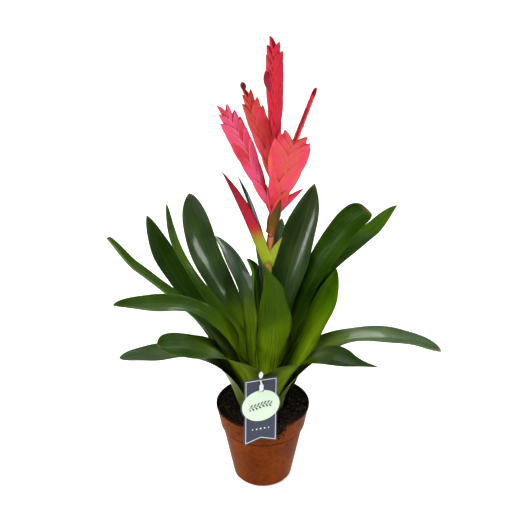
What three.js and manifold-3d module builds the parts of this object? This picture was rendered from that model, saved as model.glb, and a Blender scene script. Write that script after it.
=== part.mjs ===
// A bromeliad in flower, in its nursery pot, with a care tag on a stake.
// A rosette of strap leaves clasps a short crown that stands in the compost. The flower stem
// rises through the middle and carries flat, sword-shaped spikes of folded pink bracts.
// Millimetres, +Z up. The origin is the centre of the pot's foot, and -Y faces the viewer.
import * as THREE from 'three';
import Module from 'manifold-3d';
import { mergeVertices } from 'three/addons/utils/BufferGeometryUtils.js';

// ---- driving dimensions ----------------------------------------------------------------
const GAP = 0.35; // clearance between pieces that touch

const POT = {
  height: 108,
  rimRadius: 60,
  collarHeight: 30,
  collarStep: 2.2, // how far the collar stands out from the wall below it
  wallRadius: 52, // just under the collar
  footRadius: 37,
  wall: 1.4,
  sides: 36,
  drainRadius: 4.5,
  drainCircle: 24,
  drains: 6,
};

const SOIL = {
  top: 104.5, // mean level of the compost
  mound: 3, // how much higher it lies round the crown
  crumb: 1.3, // height of the loose crumbs
  holeRadius: 33,
  holeFloor: 92,
  rings: 5,
  sectors: 30,
  seed: 7,
};

const CROWN = { floor: SOIL.holeFloor + GAP, radius: 30, top: 105, tipRadius: 5.5, sides: 24 };

const LEAF = {
  firstRadius: 6.6, // the innermost sheath, measured from the plant's axis
  step: 0.98, // each older leaf wraps one step further out
  firstLean: 2, // degrees from upright at the base of the innermost leaf,
  leanStep: 0.6, // and how much more each older leaf leans
  wrap: 54, // degrees either side of the leaf's middle that its sheath clasps
  clasp: [0.02, 0.25], // share of the length over which the sheath narrows to the neck,
  open: [0.15, 0.45], // and over which it opens from round the crown to the blade's channel
  neck: 0.68, // width of the blade just above the sheath, as a share of its greatest width
  thickness: 0.62, // at the sheath and the margins
  rib: 0.5, // what the middle of the blade has on top of that
  stations: [0, 0.08, 0.17, 0.27, 0.39, 0.52, 0.65, 0.77, 0.88, 0.96],
  segments: 6,
};

// One row for each leaf, from the youngest in the middle to the oldest outside.
// azimuth: where it grows, degrees from +X; reach and height: its tip, from the axis and from
// the pot's foot; droop: slope of the tip; rise and run: how far it keeps its first and its
// last direction; sway: how far the tip swings round the axis; width: of the blade; fold: half
// angle of its channel; twist: its roll; full: how far along it stays broad.
const LEAVES = [
  { azimuth: 165, reach: 15, height: 300, droop: 84, width: 30, fold: 50 },
  { azimuth: 110, reach: 56, height: 392, droop: 68, sway: 10, width: 16, fold: 30, twist: 70 },
  { azimuth: 282, reach: 36, height: 314, droop: 86, width: 42, fold: 62 },
  { azimuth: 50, reach: 100, height: 376, droop: 74, rise: 150, run: 80, width: 50, fold: 42 },
  { azimuth: 114, reach: 148, height: 283, droop: 8, rise: 140, run: 90, width: 36, fold: 42 },
  { azimuth: 18, reach: 133, height: 362, droop: 40, rise: 135, run: 72, width: 60, fold: 26, full: 0.78 },
  { azimuth: 169, reach: 115, height: 368, droop: 88, rise: 158, run: 108, width: 34, fold: 50 },
  { azimuth: 76, reach: 102, height: 322, droop: 60, rise: 85, run: 85, width: 36, fold: 42 },
  { azimuth: 139, reach: 124, height: 362, droop: 85, rise: 155, run: 118, width: 46, fold: 26 },
  { azimuth: 28, reach: 185, height: 342, droop: 40, rise: 160, run: 80, width: 40, fold: 30 },
  { azimuth: 204, reach: 181, height: 280, droop: 3, rise: 152, run: 100, width: 48, fold: 28 },
  { azimuth: 92, reach: 150, height: 226, droop: 0, rise: 98, width: 40, fold: 30 },
  { azimuth: 18, reach: 93, height: 264, droop: 72, rise: 85, run: 50, width: 54, fold: 36 },
  { azimuth: 180, reach: 185, height: 339, droop: 54, rise: 110, run: 74, width: 30, fold: 50 },
  { azimuth: 153, reach: 161, height: 334, droop: 78, rise: 98, run: 100, width: 42, fold: 32 },
  { azimuth: 66, reach: 125, height: 195, droop: 0, width: 40, fold: 30 },
  { azimuth: 130, reach: 116, height: 190, droop: 0, width: 40, fold: 30 },
  { azimuth: 4, reach: 226, height: 182, droop: -20, sway: -2, rise: 115, run: 100, width: 38, fold: 28 },
  { azimuth: 226, reach: 150, height: 244, droop: 24, sway: -7, rise: 118, run: 88, width: 46, fold: 16,
    twist: -24, full: 0.72 },
  { azimuth: 312, reach: 150, height: 202, droop: 6, sway: 17, rise: 88, run: 80, width: 42, fold: 28 },
  { azimuth: 104, reach: 140, height: 166, droop: -10, rise: 90, width: 40, fold: 30 },
  { azimuth: 48, reach: 105, height: 172, droop: -10, width: 40, fold: 30 },
  { azimuth: 192, reach: 176, height: 192, droop: 0, rise: 98, run: 108, width: 38, fold: 20 },
];

const STEM = {
  path: [[0, 0, 105.4], [2, 0, 210], [8, 0, 320], [13.5, 0, 378], [16, 0, 430]],
  startRadius: 5.2,
  endRadius: 3,
  bracts: [
    { at: 0.6, face: 184, lean: 24, length: 122, spread: 8, clasp: 6.2, depth: 6.2, hook: 4, taper: 1.3 },
    { at: 0.6, face: 300, lean: 4, length: 38, spread: 6.5, clasp: 6, depth: 6.5 },
    { at: 0.76, face: 312, lean: 14, length: 40, spread: 7, clasp: 5.4, depth: 7 },
    { at: 0.79, face: 352, lean: 34, length: 48, spread: 6, clasp: 5, depth: 4.8, taper: 2 },
  ],
};

const BRACT = {
  thickness: 0.7, // half the least thickness near the tip
  hollow: 0.55, // how deep the open side is cut in, as a share of the bract's breadth
  rachis: 1.8, // radius of the spike's own stalk
  tuck: 0.08, // how far the tip turns in again, as a share of the spike's width
  clasp: 2.6, // how far the bract's margins reach round the stalk
  seats: [0.03, 0.96], // where the first and the last bract sit, as shares of the rachis
  crowding: 0.85, // below 1 the seats lie closer together toward the tip
  young: 0.55, // size of the lowest bract, as a share of the full-grown ones
  narrowing: 0.5, // width of the spike's tip, as a share of the whole
  stations: [0, 0.42, 0.86],
};

const FLOWER = { length: 30, spread: 19, clasp: 2, depth: 3.5, hook: -8 };

// The spikes. from, to: the ends of the rachis; face: direction the flat side's rows point to,
// degrees from +X; bow: how far the middle stands out that way; width: across the two rows;
// length, tipLength: of the first and of the last bract; depth: half the spike's thickness;
// bud: radius of the flower bud that stands out at the tip; flower: where a spent flower
// leans out on the left, as a share of the rachis.
const SPIKES = [
  {
    from: [16, 0, 416], to: [14, 0, 548], face: 50, bow: 0,
    bracts: 16, width: 25, length: 50, tipLength: 24, depth: 4.5, flower: 0.68,
  },
  {
    from: [16, 5, 386], to: [-12, 8, 494], face: 30, bow: 2,
    bracts: 12, width: 27, length: 50, tipLength: 26, depth: 4, bud: 3.4,
  },
  {
    from: [9, -5, 362], to: [-35, -8, 478], face: 25, bow: 4,
    bracts: 12, width: 28, length: 52, tipLength: 28, depth: 4.5,
  },
  {
    from: [15.5, -6, 362], to: [32, -12, 438], face: 0, bow: 0,
    bracts: 11, width: 40, length: 58, tipLength: 34, depth: 4.5,
  },
  {
    from: [19, 6, 400], to: [53, 14, 490], face: 80, bow: 0,
    bracts: 9, width: 16, length: 42, tipLength: 24, depth: 3,
  },
];

// The care card leans on the pot's rim, and hangs on a strip that is threaded through it.
const CARD = {
  foot: [-4, -69.5, 92], // middle of its lower edge
  yaw: 17, // degrees that its right edge is turned away
  lean: 17, // degrees that it leans back
  roll: 2, // degrees that it hangs askew
  width: 43,
  height: 84,
  thickness: 0.8,
  notch: 6,
  ovalHeight: 50, // middle of the oval, above the lower edge
  ovalRadii: [24.5, 20],
  slotWidth: 7.4,
  slots: [69, 79.5], // middles of the two slots, above the lower edge
  slotHeight: 4.2,
};

// foot: height and depth of its lower end; head: how far it stands above the card; point: width
// of its upper end.
const STAKE = { width: 5.2, thickness: 1, foot: [7, -22], head: 9, point: 1.2 };

const COLOURS = {
  terracotta: 0xa24a24,
  compost: 0x17100c,
  crown: 0x6d7a3c,
  leaf: 0x1f4a12,
  pink: 0xd6304a,
  stem: 0xb0622f,
  card: 0x474a5e,
  stake: 0xe6e9ea,
};

// ---- small tools -----------------------------------------------------------------------
const wasm = await Module();
wasm.setup();

const rad = THREE.MathUtils.degToRad;
const mix = THREE.MathUtils.lerp;
const smooth = (x, low, high) => THREE.MathUtils.smoothstep(x, low, high);
const vector = ([x, y, z]) => new THREE.Vector3(x, y, z);

// A closed geometry as a manifold-3d solid, and back.
function solid(geometry) {
  const bare = geometry.index ? geometry.toNonIndexed() : geometry.clone();
  const plain = new THREE.BufferGeometry().setAttribute('position', bare.getAttribute('position'));
  const merged = mergeVertices(plain, 1e-3);
  return new wasm.Manifold(
    new wasm.Mesh({
      numProp: 3,
      vertProperties: new Float32Array(merged.attributes.position.array),
      triVerts: new Uint32Array(merged.index.array),
    }),
  );
}

function geometryOf(manifold) {
  const mesh = manifold.getMesh();
  const points = new Float32Array(mesh.numVert * 3);
  for (let i = 0; i < mesh.numVert; i++) {
    points.set(mesh.vertProperties.subarray(i * mesh.numProp, i * mesh.numProp + 3), i * 3);
  }
  return new THREE.BufferGeometry()
    .setAttribute('position', new THREE.BufferAttribute(points, 3))
    .setIndex(new THREE.BufferAttribute(mesh.triVerts, 1));
}

// A closed skin over rings of points. Every ring runs along the upper face and back along the
// lower one, both faces are cut into triangles alike, and the ends are closed across.
function skin(rings, tip = null) {
  const points = rings.flat();
  const n = rings[0].length;
  const faces = [];
  for (let j = 0; j + 1 < rings.length; j++) {
    for (let i = 0; i < n; i++) {
      const a = j * n + i;
      const b = j * n + ((i + 1) % n);
      if (i < n / 2) faces.push(a, b + n, b, a, a + n, b + n);
      else faces.push(a, a + n, b, b, a + n, b + n);
    }
  }
  closeAcross(faces, 0, n, false);
  const last = (rings.length - 1) * n;
  if (tip) {
    points.push(tip);
    for (let i = 0; i < n; i++) faces.push(last + i, points.length - 1, last + ((i + 1) % n));
  } else {
    closeAcross(faces, last, n, true);
  }
  return outward(new THREE.BufferGeometry().setFromPoints(points).setIndex(faces));
}

// The end of a skin: triangles between the ring's two halves.
function closeAcross(faces, first, n, far) {
  for (let i = 1; i < n / 2; i++) {
    const [a, b, c, d] = [i - 1, i, n - i, n - 1 - i].map((k) => first + k);
    if (far) faces.push(a, c, b, c, d, b);
    else faces.push(a, b, c, b, d, c);
  }
}

// Turns a closed geometry's faces outward if they look inward.
function outward(geometry) {
  const p = geometry.getAttribute('position');
  const index = geometry.index.array;
  const [a, b, c] = [new THREE.Vector3(), new THREE.Vector3(), new THREE.Vector3()];
  let volume = 0;
  for (let i = 0; i < index.length; i += 3) {
    a.fromBufferAttribute(p, index[i]);
    b.fromBufferAttribute(p, index[i + 1]);
    c.fromBufferAttribute(p, index[i + 2]);
    volume += a.dot(b.cross(c));
  }
  if (volume < 0) geometry.setIndex(Array.from(index).reverse());
  return geometry;
}

// A round stem along a curve, thick at its start and thinner at its end, with closed ends.
function stemGeometry(curve, startRadius, endRadius, stations, sides) {
  const frames = curve.computeFrenetFrames(stations, false);
  const rings = [];
  for (let j = 0; j <= stations; j++) {
    const u = j / stations;
    const centre = curve.getPointAt(u);
    const r = mix(startRadius, endRadius, u);
    const ring = [];
    for (let i = 0; i < sides; i++) {
      const angle = (2 * Math.PI * (i + 0.5)) / sides;
      ring.push(
        centre
          .clone()
          .addScaledVector(frames.normals[j], r * Math.cos(angle))
          .addScaledVector(frames.binormals[j], r * Math.sin(angle)),
      );
    }
    rings.push(ring);
  }
  return skin(rings);
}

// ---- leaves ----------------------------------------------------------------------------
// The leaf's middle line: a Bezier curve that leaves the crown nearly upright and arches out.
function leafLine(leaf, order, radius, seat) {
  const { azimuth, reach, height, droop, sway = 0 } = leaf;
  const lean = LEAF.firstLean + LEAF.leanStep * order;
  const out = (angle) => new THREE.Vector3(Math.cos(rad(angle)), Math.sin(rad(angle)), 0);
  const start = out(azimuth).multiplyScalar(radius).setZ(seat);
  const end = out(azimuth + sway).multiplyScalar(reach).setZ(height);
  const chord = start.distanceTo(end);
  const { rise = chord * 0.42, run = chord * 0.36 } = leaf;
  const first = out(azimuth).multiplyScalar(Math.sin(rad(lean))).setZ(Math.cos(rad(lean)));
  const last = out(azimuth + sway).multiplyScalar(Math.cos(rad(droop))).setZ(Math.sin(rad(droop)));
  return new THREE.CubicBezierCurve3(
    start,
    start.clone().addScaledVector(first, rise),
    end.clone().addScaledVector(last, -run),
    end,
  );
}

// Half the blade's width at a share u of its length: narrowest above the sheath, broadest at
// two thirds, and drawn to a short point.
function bladeHalfWidth(u, width, full = 0.6) {
  const past = Math.max(0, (u - full) / (1 - full));
  const body = mix(LEAF.neck, 1, smooth(u, 0.22, 0.66));
  return (width / 2) * body * Math.pow(1 - Math.pow(past, 2.8), 0.62);
}

function leafGeometry(leaf, order) {
  const radius = LEAF.firstRadius + LEAF.step * order;
  const line = leafLine(leaf, order, radius, crownHeight(radius) + GAP);
  const away = new THREE.Vector3(Math.cos(rad(leaf.azimuth)), Math.sin(rad(leaf.azimuth)), 0);
  const level = new THREE.Vector3(-away.y, away.x, 0);
  const rings = LEAF.stations.map((u) => {
    const centre = line.getPointAt(u);
    const along = line.getTangentAt(u);
    const opened = smooth(u, ...LEAF.open);
    const side = level.clone().addScaledVector(along, -level.dot(along) * opened).normalize();
    side.applyAxisAngle(along, rad(leaf.twist ?? 0) * u * u);
    const upperSide = new THREE.Vector3().crossVectors(along, side).normalize();
    const inward = away.clone().negate().lerp(upperSide, opened).normalize();
    const fromAxis = Math.max(radius, centre.dot(away));
    const blade = bladeHalfWidth(u, leaf.width, leaf.full);
    const half = mix(fromAxis * rad(LEAF.wrap), blade, smooth(u, ...LEAF.clasp));
    const bend = mix(1 / fromAxis, rad(leaf.fold) / half, opened);
    const upper = [];
    const lower = [];
    for (let i = 0; i <= LEAF.segments; i++) {
      const v = (2 * i) / LEAF.segments - 1;
      const angle = bend * half * v;
      const facing = inward.clone().multiplyScalar(Math.cos(angle));
      facing.addScaledVector(side, -Math.sin(angle));
      const thick = LEAF.thickness + LEAF.rib * (1 - v * v) * opened * (1 - u);
      const point = centre.clone().addScaledVector(side, Math.sin(angle) / bend);
      point.addScaledVector(inward, (1 - Math.cos(angle)) / bend);
      upper.push(point.clone().addScaledVector(facing, thick / 2));
      lower.push(point.clone().addScaledVector(facing, -thick / 2));
    }
    return [...upper, ...lower.reverse()];
  });
  return skin(rings, line.getPointAt(1));
}

// ---- crown, pot and compost --------------------------------------------------------------
// The crown is a low cone, and each sheath stands on its slope.
function crownHeight(radius) {
  const share = (radius - CROWN.tipRadius) / (CROWN.radius - CROWN.tipRadius);
  return mix(CROWN.top, CROWN.floor + 3, THREE.MathUtils.clamp(share, 0, 1));
}

// A turned solid: its half profile is a list of [radius, height].
function turned(profile, sides) {
  const points = profile.map(([r, z]) => new THREE.Vector2(r, z));
  return mergeVertices(bareLathe(points, sides), 1e-3);
}

function bareLathe(points, sides) {
  const lathe = new THREE.LatheGeometry(points, sides).rotateX(Math.PI / 2);
  const bare = new THREE.BufferGeometry().setAttribute('position', lathe.getAttribute('position'));
  return bare.setIndex(lathe.index);
}

function crownGeometry() {
  const { floor, radius, top, tipRadius, sides } = CROWN;
  return turned([[0, floor], [radius, floor], [radius, floor + 3], [tipRadius, top], [0, top]], sides);
}

// The inside of the pot: radius at a height, and the same for the outside below the collar.
const wallAt = (z) => mix(POT.footRadius, POT.wallRadius, z / (POT.height - POT.collarHeight));

function potGeometry() {
  const { height, rimRadius, collarHeight, collarStep, wall, footRadius, sides } = POT;
  const shoulder = height - collarHeight;
  const collarRadius = wallAt(shoulder) + collarStep;
  const outside = [
    [0, 0], [footRadius - 4, 0], [footRadius - 1.2, 1.2], [wallAt(4), 4], [wallAt(shoulder), shoulder],
    [collarRadius, shoulder + 0.8], [rimRadius - 0.6, height - 0.6], [rimRadius - 1, height],
  ];
  const inside = [
    [rimRadius - wall - 0.4, height], [rimRadius - wall - 0.9, height - 1],
    [collarRadius - wall, shoulder + 2.4], [wallAt(shoulder) - wall, shoulder],
    [wallAt(3) - wall, 3], [wallAt(1.4) - wall - 2, wall + 0.2], [0, wall + 0.2],
  ];
  let pot = solid(turned([...outside, ...inside], sides));
  for (let i = 0; i < POT.drains; i++) {
    const angle = (2 * Math.PI * i) / POT.drains;
    const drill = new THREE.CylinderGeometry(POT.drainRadius, POT.drainRadius, 12, 10);
    drill.rotateX(Math.PI / 2).translate(
      POT.drainCircle * Math.cos(angle), POT.drainCircle * Math.sin(angle), 0,
    );
    pot = pot.subtract(solid(drill));
  }
  return geometryOf(pot);
}

// The compost fills the pot. Its top is a ring of loose crumbs round the hole for the crown.
function compostGeometry() {
  const { top, mound, crumb, holeRadius, holeFloor, rings, sectors, seed } = SOIL;
  const { height, rimRadius, collarHeight, collarStep, wall } = POT;
  const shoulder = height - collarHeight;
  const clear = wall + GAP + 0.25;
  const inCollar = wallAt(shoulder) + collarStep - clear;
  const edge = mix(inCollar, rimRadius - 0.6 - clear, (top - shoulder) / collarHeight);
  const surface = [];
  for (let i = 0; i <= rings; i++) {
    surface.push([mix(holeRadius, edge, i / rings), mix(top + mound, top, smooth(i / rings, 0, 1))]);
  }
  const profile = [
    [0, holeFloor], [holeRadius, holeFloor], ...surface, [inCollar, shoulder + 4],
    [wallAt(shoulder) - clear, shoulder + 1], [wallAt(8) - clear, 8],
    [wallAt(5) - clear - 3, 2.2], [0, 2.2],
  ];
  const compost = turned(profile, sectors);
  const p = compost.getAttribute('position');
  const random = seeded(seed);
  for (let i = 0; i < p.count; i++) {
    const r = Math.hypot(p.getX(i), p.getY(i));
    const loose = p.getZ(i) > top - 1 && r > holeRadius + 1 && r < edge - 1;
    if (loose) p.setZ(i, p.getZ(i) + crumb * (2 * random() - 1));
  }
  return geometryOf(solid(outward(compost)).subtract(solid(stakeGeometry(GAP))));
}

// Repeatable random numbers from 0 to 1.
function seeded(start) {
  let state = start;
  return () => {
    state = (state * 16807) % 2147483647;
    return state / 2147483647;
  };
}

// ---- flower stem and spikes --------------------------------------------------------------
const stemCurve = () => new THREE.CatmullRomCurve3(STEM.path.map(vector));

// A folded bract: its two sides meet in a keel on the outside and clasp what is inside.
// frame: origin, along (up the spike) and out (where the keel looks).
function bractGeometry({ origin, along, out }, form) {
  const { length, spread, clasp, depth, hook = 0, taper = 3.2, open = BRACT.hollow } = form;
  const across = new THREE.Vector3().crossVectors(along, out);
  const at = (x, y, z) =>
    origin.clone().addScaledVector(out, x).addScaledVector(across, y).addScaledVector(along, z);
  const keelAt = (s) => mix(clasp, spread, 1 - Math.pow(1 - s, 2)) + hook * s * s;
  const rings = BRACT.stations.map((s) => {
    const keel = keelAt(s);
    const margin = mix(-clasp, keelAt(1), Math.pow(s, taper));
    const deep = Math.max(BRACT.thickness, depth * Math.pow(1 - s, 0.6));
    const hollow = (keel - margin) * open * s;
    return [
      at(margin, deep, length * s), at(keel, 0, length * s),
      at(margin, -deep, length * s), at(margin + hollow, 0, length * s),
    ];
  });
  return skin(rings, at(keelAt(1), 0, length));
}

// The stem with the bracts that sit on it. extra makes all of it that much larger, and its
// bracts whole, for the room that it takes in a spike.
function flowerStem(extra) {
  const curve = stemCurve();
  const { startRadius, endRadius, bracts } = STEM;
  let body = solid(stemGeometry(curve, startRadius + extra, endRadius + extra, 10, 10));
  for (const { at, face, lean, length, spread, clasp, depth, hook, taper } of bracts) {
    const along = curve.getTangentAt(at);
    const look = new THREE.Vector3(Math.cos(rad(face)), Math.sin(rad(face)), 0);
    const out = look.addScaledVector(along, -look.dot(along)).normalize();
    const hinge = new THREE.Vector3().crossVectors(along, out);
    along.applyAxisAngle(hinge, rad(lean));
    out.applyAxisAngle(hinge, rad(lean));
    const frame = { origin: curve.getPointAt(at).addScaledVector(along, -extra), along, out };
    const form = {
      length: length + extra * 4,
      spread: spread + extra,
      clasp: clasp + extra,
      depth: depth + extra * 1.5,
      open: extra > 0 ? 0 : BRACT.hollow,
      hook,
      taper,
    };
    body = body.add(solid(bractGeometry(frame, form)));
  }
  return body;
}

// A flat spike: a thin rachis with two rows of overlapping bracts, one either side.
function spikeGeometry(spike) {
  const { from, to, bow, face, bracts, width, length, tipLength, depth, bud, flower } = spike;
  const [start, end] = [vector(from), vector(to)];
  const out = new THREE.Vector3(Math.cos(rad(face)), Math.sin(rad(face)), 0);
  const middle = start.clone().lerp(end, 0.5).addScaledVector(out, bow);
  const line = new THREE.QuadraticBezierCurve3(start, middle, end);
  let body = solid(stemGeometry(line, BRACT.rachis, BRACT.rachis * 0.6, 4, 5));
  let tip = end;
  for (let i = 0; i < bracts; i++) {
    const share = i / (bracts - 1);
    const u = mix(...BRACT.seats, Math.pow(share, BRACT.crowding));
    const grown = mix(BRACT.young, 1, smooth(share, 0, 0.35));
    const origin = line.getPointAt(u);
    const along = line.getTangentAt(u);
    const look = out.clone().addScaledVector(along, -out.dot(along)).normalize();
    if (i % 2) look.negate();
    const form = {
      length: mix(length, tipLength, share) * grown,
      spread: (width / 2) * grown * mix(1, BRACT.narrowing, smooth(share, 0.65, 1)),
      hook: -BRACT.tuck * width,
      clasp: BRACT.clasp,
      depth: depth * mix(1, 0.7, share),
    };
    body = body.add(solid(bractGeometry({ origin, along, out: look }, form)));
    tip = origin.addScaledVector(along, form.length * 0.94).addScaledVector(look, form.spread * 0.7);
  }
  if (bud) {
    const egg = new THREE.IcosahedronGeometry(bud, 1);
    body = body.add(solid(egg.translate(tip.x, tip.y, tip.z)));
  }
  if (flower) {
    const along = line.getTangentAt(flower);
    const leftward = new THREE.Vector3(-1, 0, 0).addScaledVector(along, along.x).normalize();
    const frame = { origin: line.getPointAt(flower), along, out: leftward };
    body = body.add(solid(bractGeometry(frame, FLOWER)));
  }
  return body;
}

// ---- care card and its stake -------------------------------------------------------------
// Card coordinates: x across, y up along the card, z toward the viewer; from the lower edge.
function onCard(geometry) {
  return geometry
    .rotateZ(-rad(CARD.roll))
    .rotateX(Math.PI / 2)
    .rotateZ(rad(CARD.yaw))
    .rotateX(-rad(CARD.lean))
    .translate(...CARD.foot);
}

function cardGeometry() {
  const { width, height, notch, thickness, ovalHeight, ovalRadii, slotWidth, slotHeight } = CARD;
  const side = width / 2;
  const [across, tall] = ovalRadii;
  const meet = tall * Math.sqrt(1 - (side / across) ** 2);
  const shape = new THREE.Shape().moveTo(0, notch).lineTo(side, 0).lineTo(side, ovalHeight - meet);
  const start = Math.atan2(-meet / tall, side / across);
  for (let i = 1; i < 6; i++) {
    const angle = mix(start, -start, i / 6);
    shape.lineTo(across * Math.cos(angle), ovalHeight + tall * Math.sin(angle));
  }
  shape.lineTo(side, ovalHeight + meet).lineTo(side, height).lineTo(-side, height);
  shape.lineTo(-side, ovalHeight + meet);
  for (let i = 5; i > 0; i--) {
    const angle = mix(start, -start, i / 6);
    shape.lineTo(-across * Math.cos(angle), ovalHeight + tall * Math.sin(angle));
  }
  shape.lineTo(-side, ovalHeight - meet).lineTo(-side, 0);
  for (const at of CARD.slots) {
    const slot = new THREE.Path().moveTo(-slotWidth / 2, at - slotHeight / 2);
    slot.lineTo(-slotWidth / 2, at + slotHeight / 2).lineTo(slotWidth / 2, at + slotHeight / 2);
    slot.lineTo(slotWidth / 2, at - slotHeight / 2);
    shape.holes.push(slot);
  }
  const card = new THREE.ExtrudeGeometry(shape, { depth: thickness, bevelEnabled: false });
  return onCard(card.translate(0, 0, -thickness / 2));
}

// The stake is a flat strip: up from the compost behind the card, in front of it between the
// slots, and behind it again under its pointed head.
function stakeGeometry(extra = 0) {
  const [low, high] = CARD.slots;
  const width = STAKE.width + 2 * extra;
  const thickness = STAKE.thickness + 2 * extra;
  const clear = CARD.thickness / 2 + STAKE.thickness / 2 + GAP;
  const [footHeight, footDepth] = STAKE.foot;
  const line = [
    [footHeight - extra, footDepth], [low - 12, -clear - 5], [low - 3, -clear],
    [low - 1.4, -clear], [low + 1.4, clear],
    [high - 1.4, clear], [high + 1.4, -clear], [high + 4, -clear], [CARD.height + STAKE.head, -clear + 1.5],
  ];
  const rings = line.map(([y, z], i) => {
    const half = i === line.length - 1 ? STAKE.point / 2 : width / 2;
    const [back, front] = [z - thickness / 2, z + thickness / 2];
    return [[-half, y, front], [half, y, front], [half, y, back], [-half, y, back]].map(vector);
  });
  return onCard(skin(rings));
}

// ---- assembly ----------------------------------------------------------------------------
const root = new THREE.Group();

function place(name, geometry, colour, roughness = 0.5) {
  const material = new THREE.MeshStandardMaterial({ color: colour, roughness, metalness: 0 });
  const mesh = new THREE.Mesh(geometry, material);
  mesh.name = name;
  root.add(mesh);
}

place('pot', potGeometry(), COLOURS.terracotta, 0.55);
place('compost', compostGeometry(), COLOURS.compost, 0.95);
place('crown', crownGeometry(), COLOURS.crown, 0.7);
place('care_card', cardGeometry(), COLOURS.card, 0.5);
place('card_stake', stakeGeometry(), COLOURS.stake, 0.4);

LEAVES.forEach((leaf, order) => {
  const name = 'leaf_' + String(order + 1).padStart(2, '0');
  place(name, leafGeometry(leaf, order), COLOURS.leaf, 0.35);
});

place('flower_stem', geometryOf(flowerStem(0)), COLOURS.stem, 0.5);

const stemRoom = flowerStem(GAP * 1.6);
SPIKES.forEach((spike, i) => {
  const [body] = spikeGeometry(spike)
    .subtract(stemRoom)
    .decompose()
    .sort((a, b) => b.volume() - a.volume());
  place('spike_' + (i + 1), geometryOf(body), COLOURS.pink, 0.45);
});

export default root;
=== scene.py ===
"""A bromeliad in flower in its nursery pot, with a care card on a stake.

Lengths are in millimetres up to the last step of each piece, which scales it to metres.
+Z is up, the pot's foot is centred on the origin, and -Y faces the viewer of the card.
"""

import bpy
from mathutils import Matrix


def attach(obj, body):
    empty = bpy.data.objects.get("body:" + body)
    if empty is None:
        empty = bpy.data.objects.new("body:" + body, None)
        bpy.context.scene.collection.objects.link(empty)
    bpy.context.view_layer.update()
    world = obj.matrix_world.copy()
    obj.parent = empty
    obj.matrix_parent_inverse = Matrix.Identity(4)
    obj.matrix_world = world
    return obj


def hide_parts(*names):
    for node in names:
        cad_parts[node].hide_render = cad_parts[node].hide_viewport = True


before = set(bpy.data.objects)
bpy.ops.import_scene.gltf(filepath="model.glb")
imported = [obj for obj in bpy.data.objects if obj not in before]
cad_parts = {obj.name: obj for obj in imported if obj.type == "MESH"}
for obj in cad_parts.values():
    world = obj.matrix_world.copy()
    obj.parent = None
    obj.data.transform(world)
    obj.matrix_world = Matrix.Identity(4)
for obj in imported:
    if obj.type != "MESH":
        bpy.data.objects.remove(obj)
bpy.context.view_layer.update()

import math

import bmesh
import bpy
from mathutils import Matrix, Vector, noise

MM = 0.001
TAU = 2 * math.pi

# ---- sizes -----------------------------------------------------------------------------------
RIM_RADIUS, POT_HEIGHT, COLLAR_HEIGHT, COLLAR_STEP = 60, 108, 30, 2.2
WALL_RADIUS, FOOT_RADIUS, POT_WALL = 52, 37, 1.4
SHOULDER = POT_HEIGHT - COLLAR_HEIGHT
DRAIN_RADIUS, DRAIN_CIRCLE, DRAINS = 4.5, 24, 6
SOIL_TOP, SOIL_MOUND, SOIL_FOOT = 106.2, 5, 2.6
SOIL_HOLE, HOLE_FLOOR = 32.6, 91.9
SPILL_AZIMUTH = 292  # where compost lies on the rim, beside the card
SPILL_PLACE = (22, -55, 99)  # the middle of what sticks to the collar there

CROWN_TOP, CROWN_EDGE = 105, 95.35
CROWN_TIP, CROWN_RADIUS = 5.5, 30

FIRST_RADIUS, RADIUS_STEP = 6.6, 0.98
FIRST_LEAN, LEAN_STEP = 2, 0.6
SEAT_GAP = 0.35
SHEATH_WRAP = 76  # degrees either side
LEAF_THICKNESS, LEAF_RIB, LEAF_RIPPLE = 0.62, 0.5, 1.1
LEAF_STEPS, LEAF_ROUND = 72, 33
USUAL_RISE, USUAL_RUN, ARCH = 0.42, 0.36, 1.08  # shares of the way from foot to tip


def strap(azimuth, reach, height, droop, width, fold, **more):
    """A leaf's values: its direction, its tip's reach, height and droop, its width and its fold.

    sway: how far round the tip strays; lean: how far out its foot leans; rise and run: how far
    its middle line goes on straight from its foot and back from its tip; bow and hook: how its
    middle and its last tenth bend aside; twist: its turn at the tip, and roll: all along it;
    full: where it starts to narrow; point: from 0.5, round, to 1, pointed; curl: how its edges
    roll in at the tip; girth and clasp: the blade's width low down and the sheath's half width,
    as shares of the width; open: how far up it clasps.
    tone: from 0, dark, to 1, bright green, raised on leaf_01 and leaf_13 as painted light; haze:
    1 for a painted greyish sheen on the leaves behind; gloss: the weight of its wax; pale: how far
    up the sheath's yellow green goes, and fresh: from 0 to 1, how much brighter it is painted.
    """
    usual = dict(sway=0, twist=0, roll=0, bow=(0, 0, 0), hook=(0, 0, 0), full=0.6, point=0.75,
                 curl=0.0, girth=0.84, clasp=0.78, open=50, haze=0, gloss=0.35, pale=68, fresh=0)
    first = dict(azimuth=azimuth, reach=reach, height=height, droop=droop, width=width, fold=fold)
    return {**usual, **first, **more}


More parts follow.
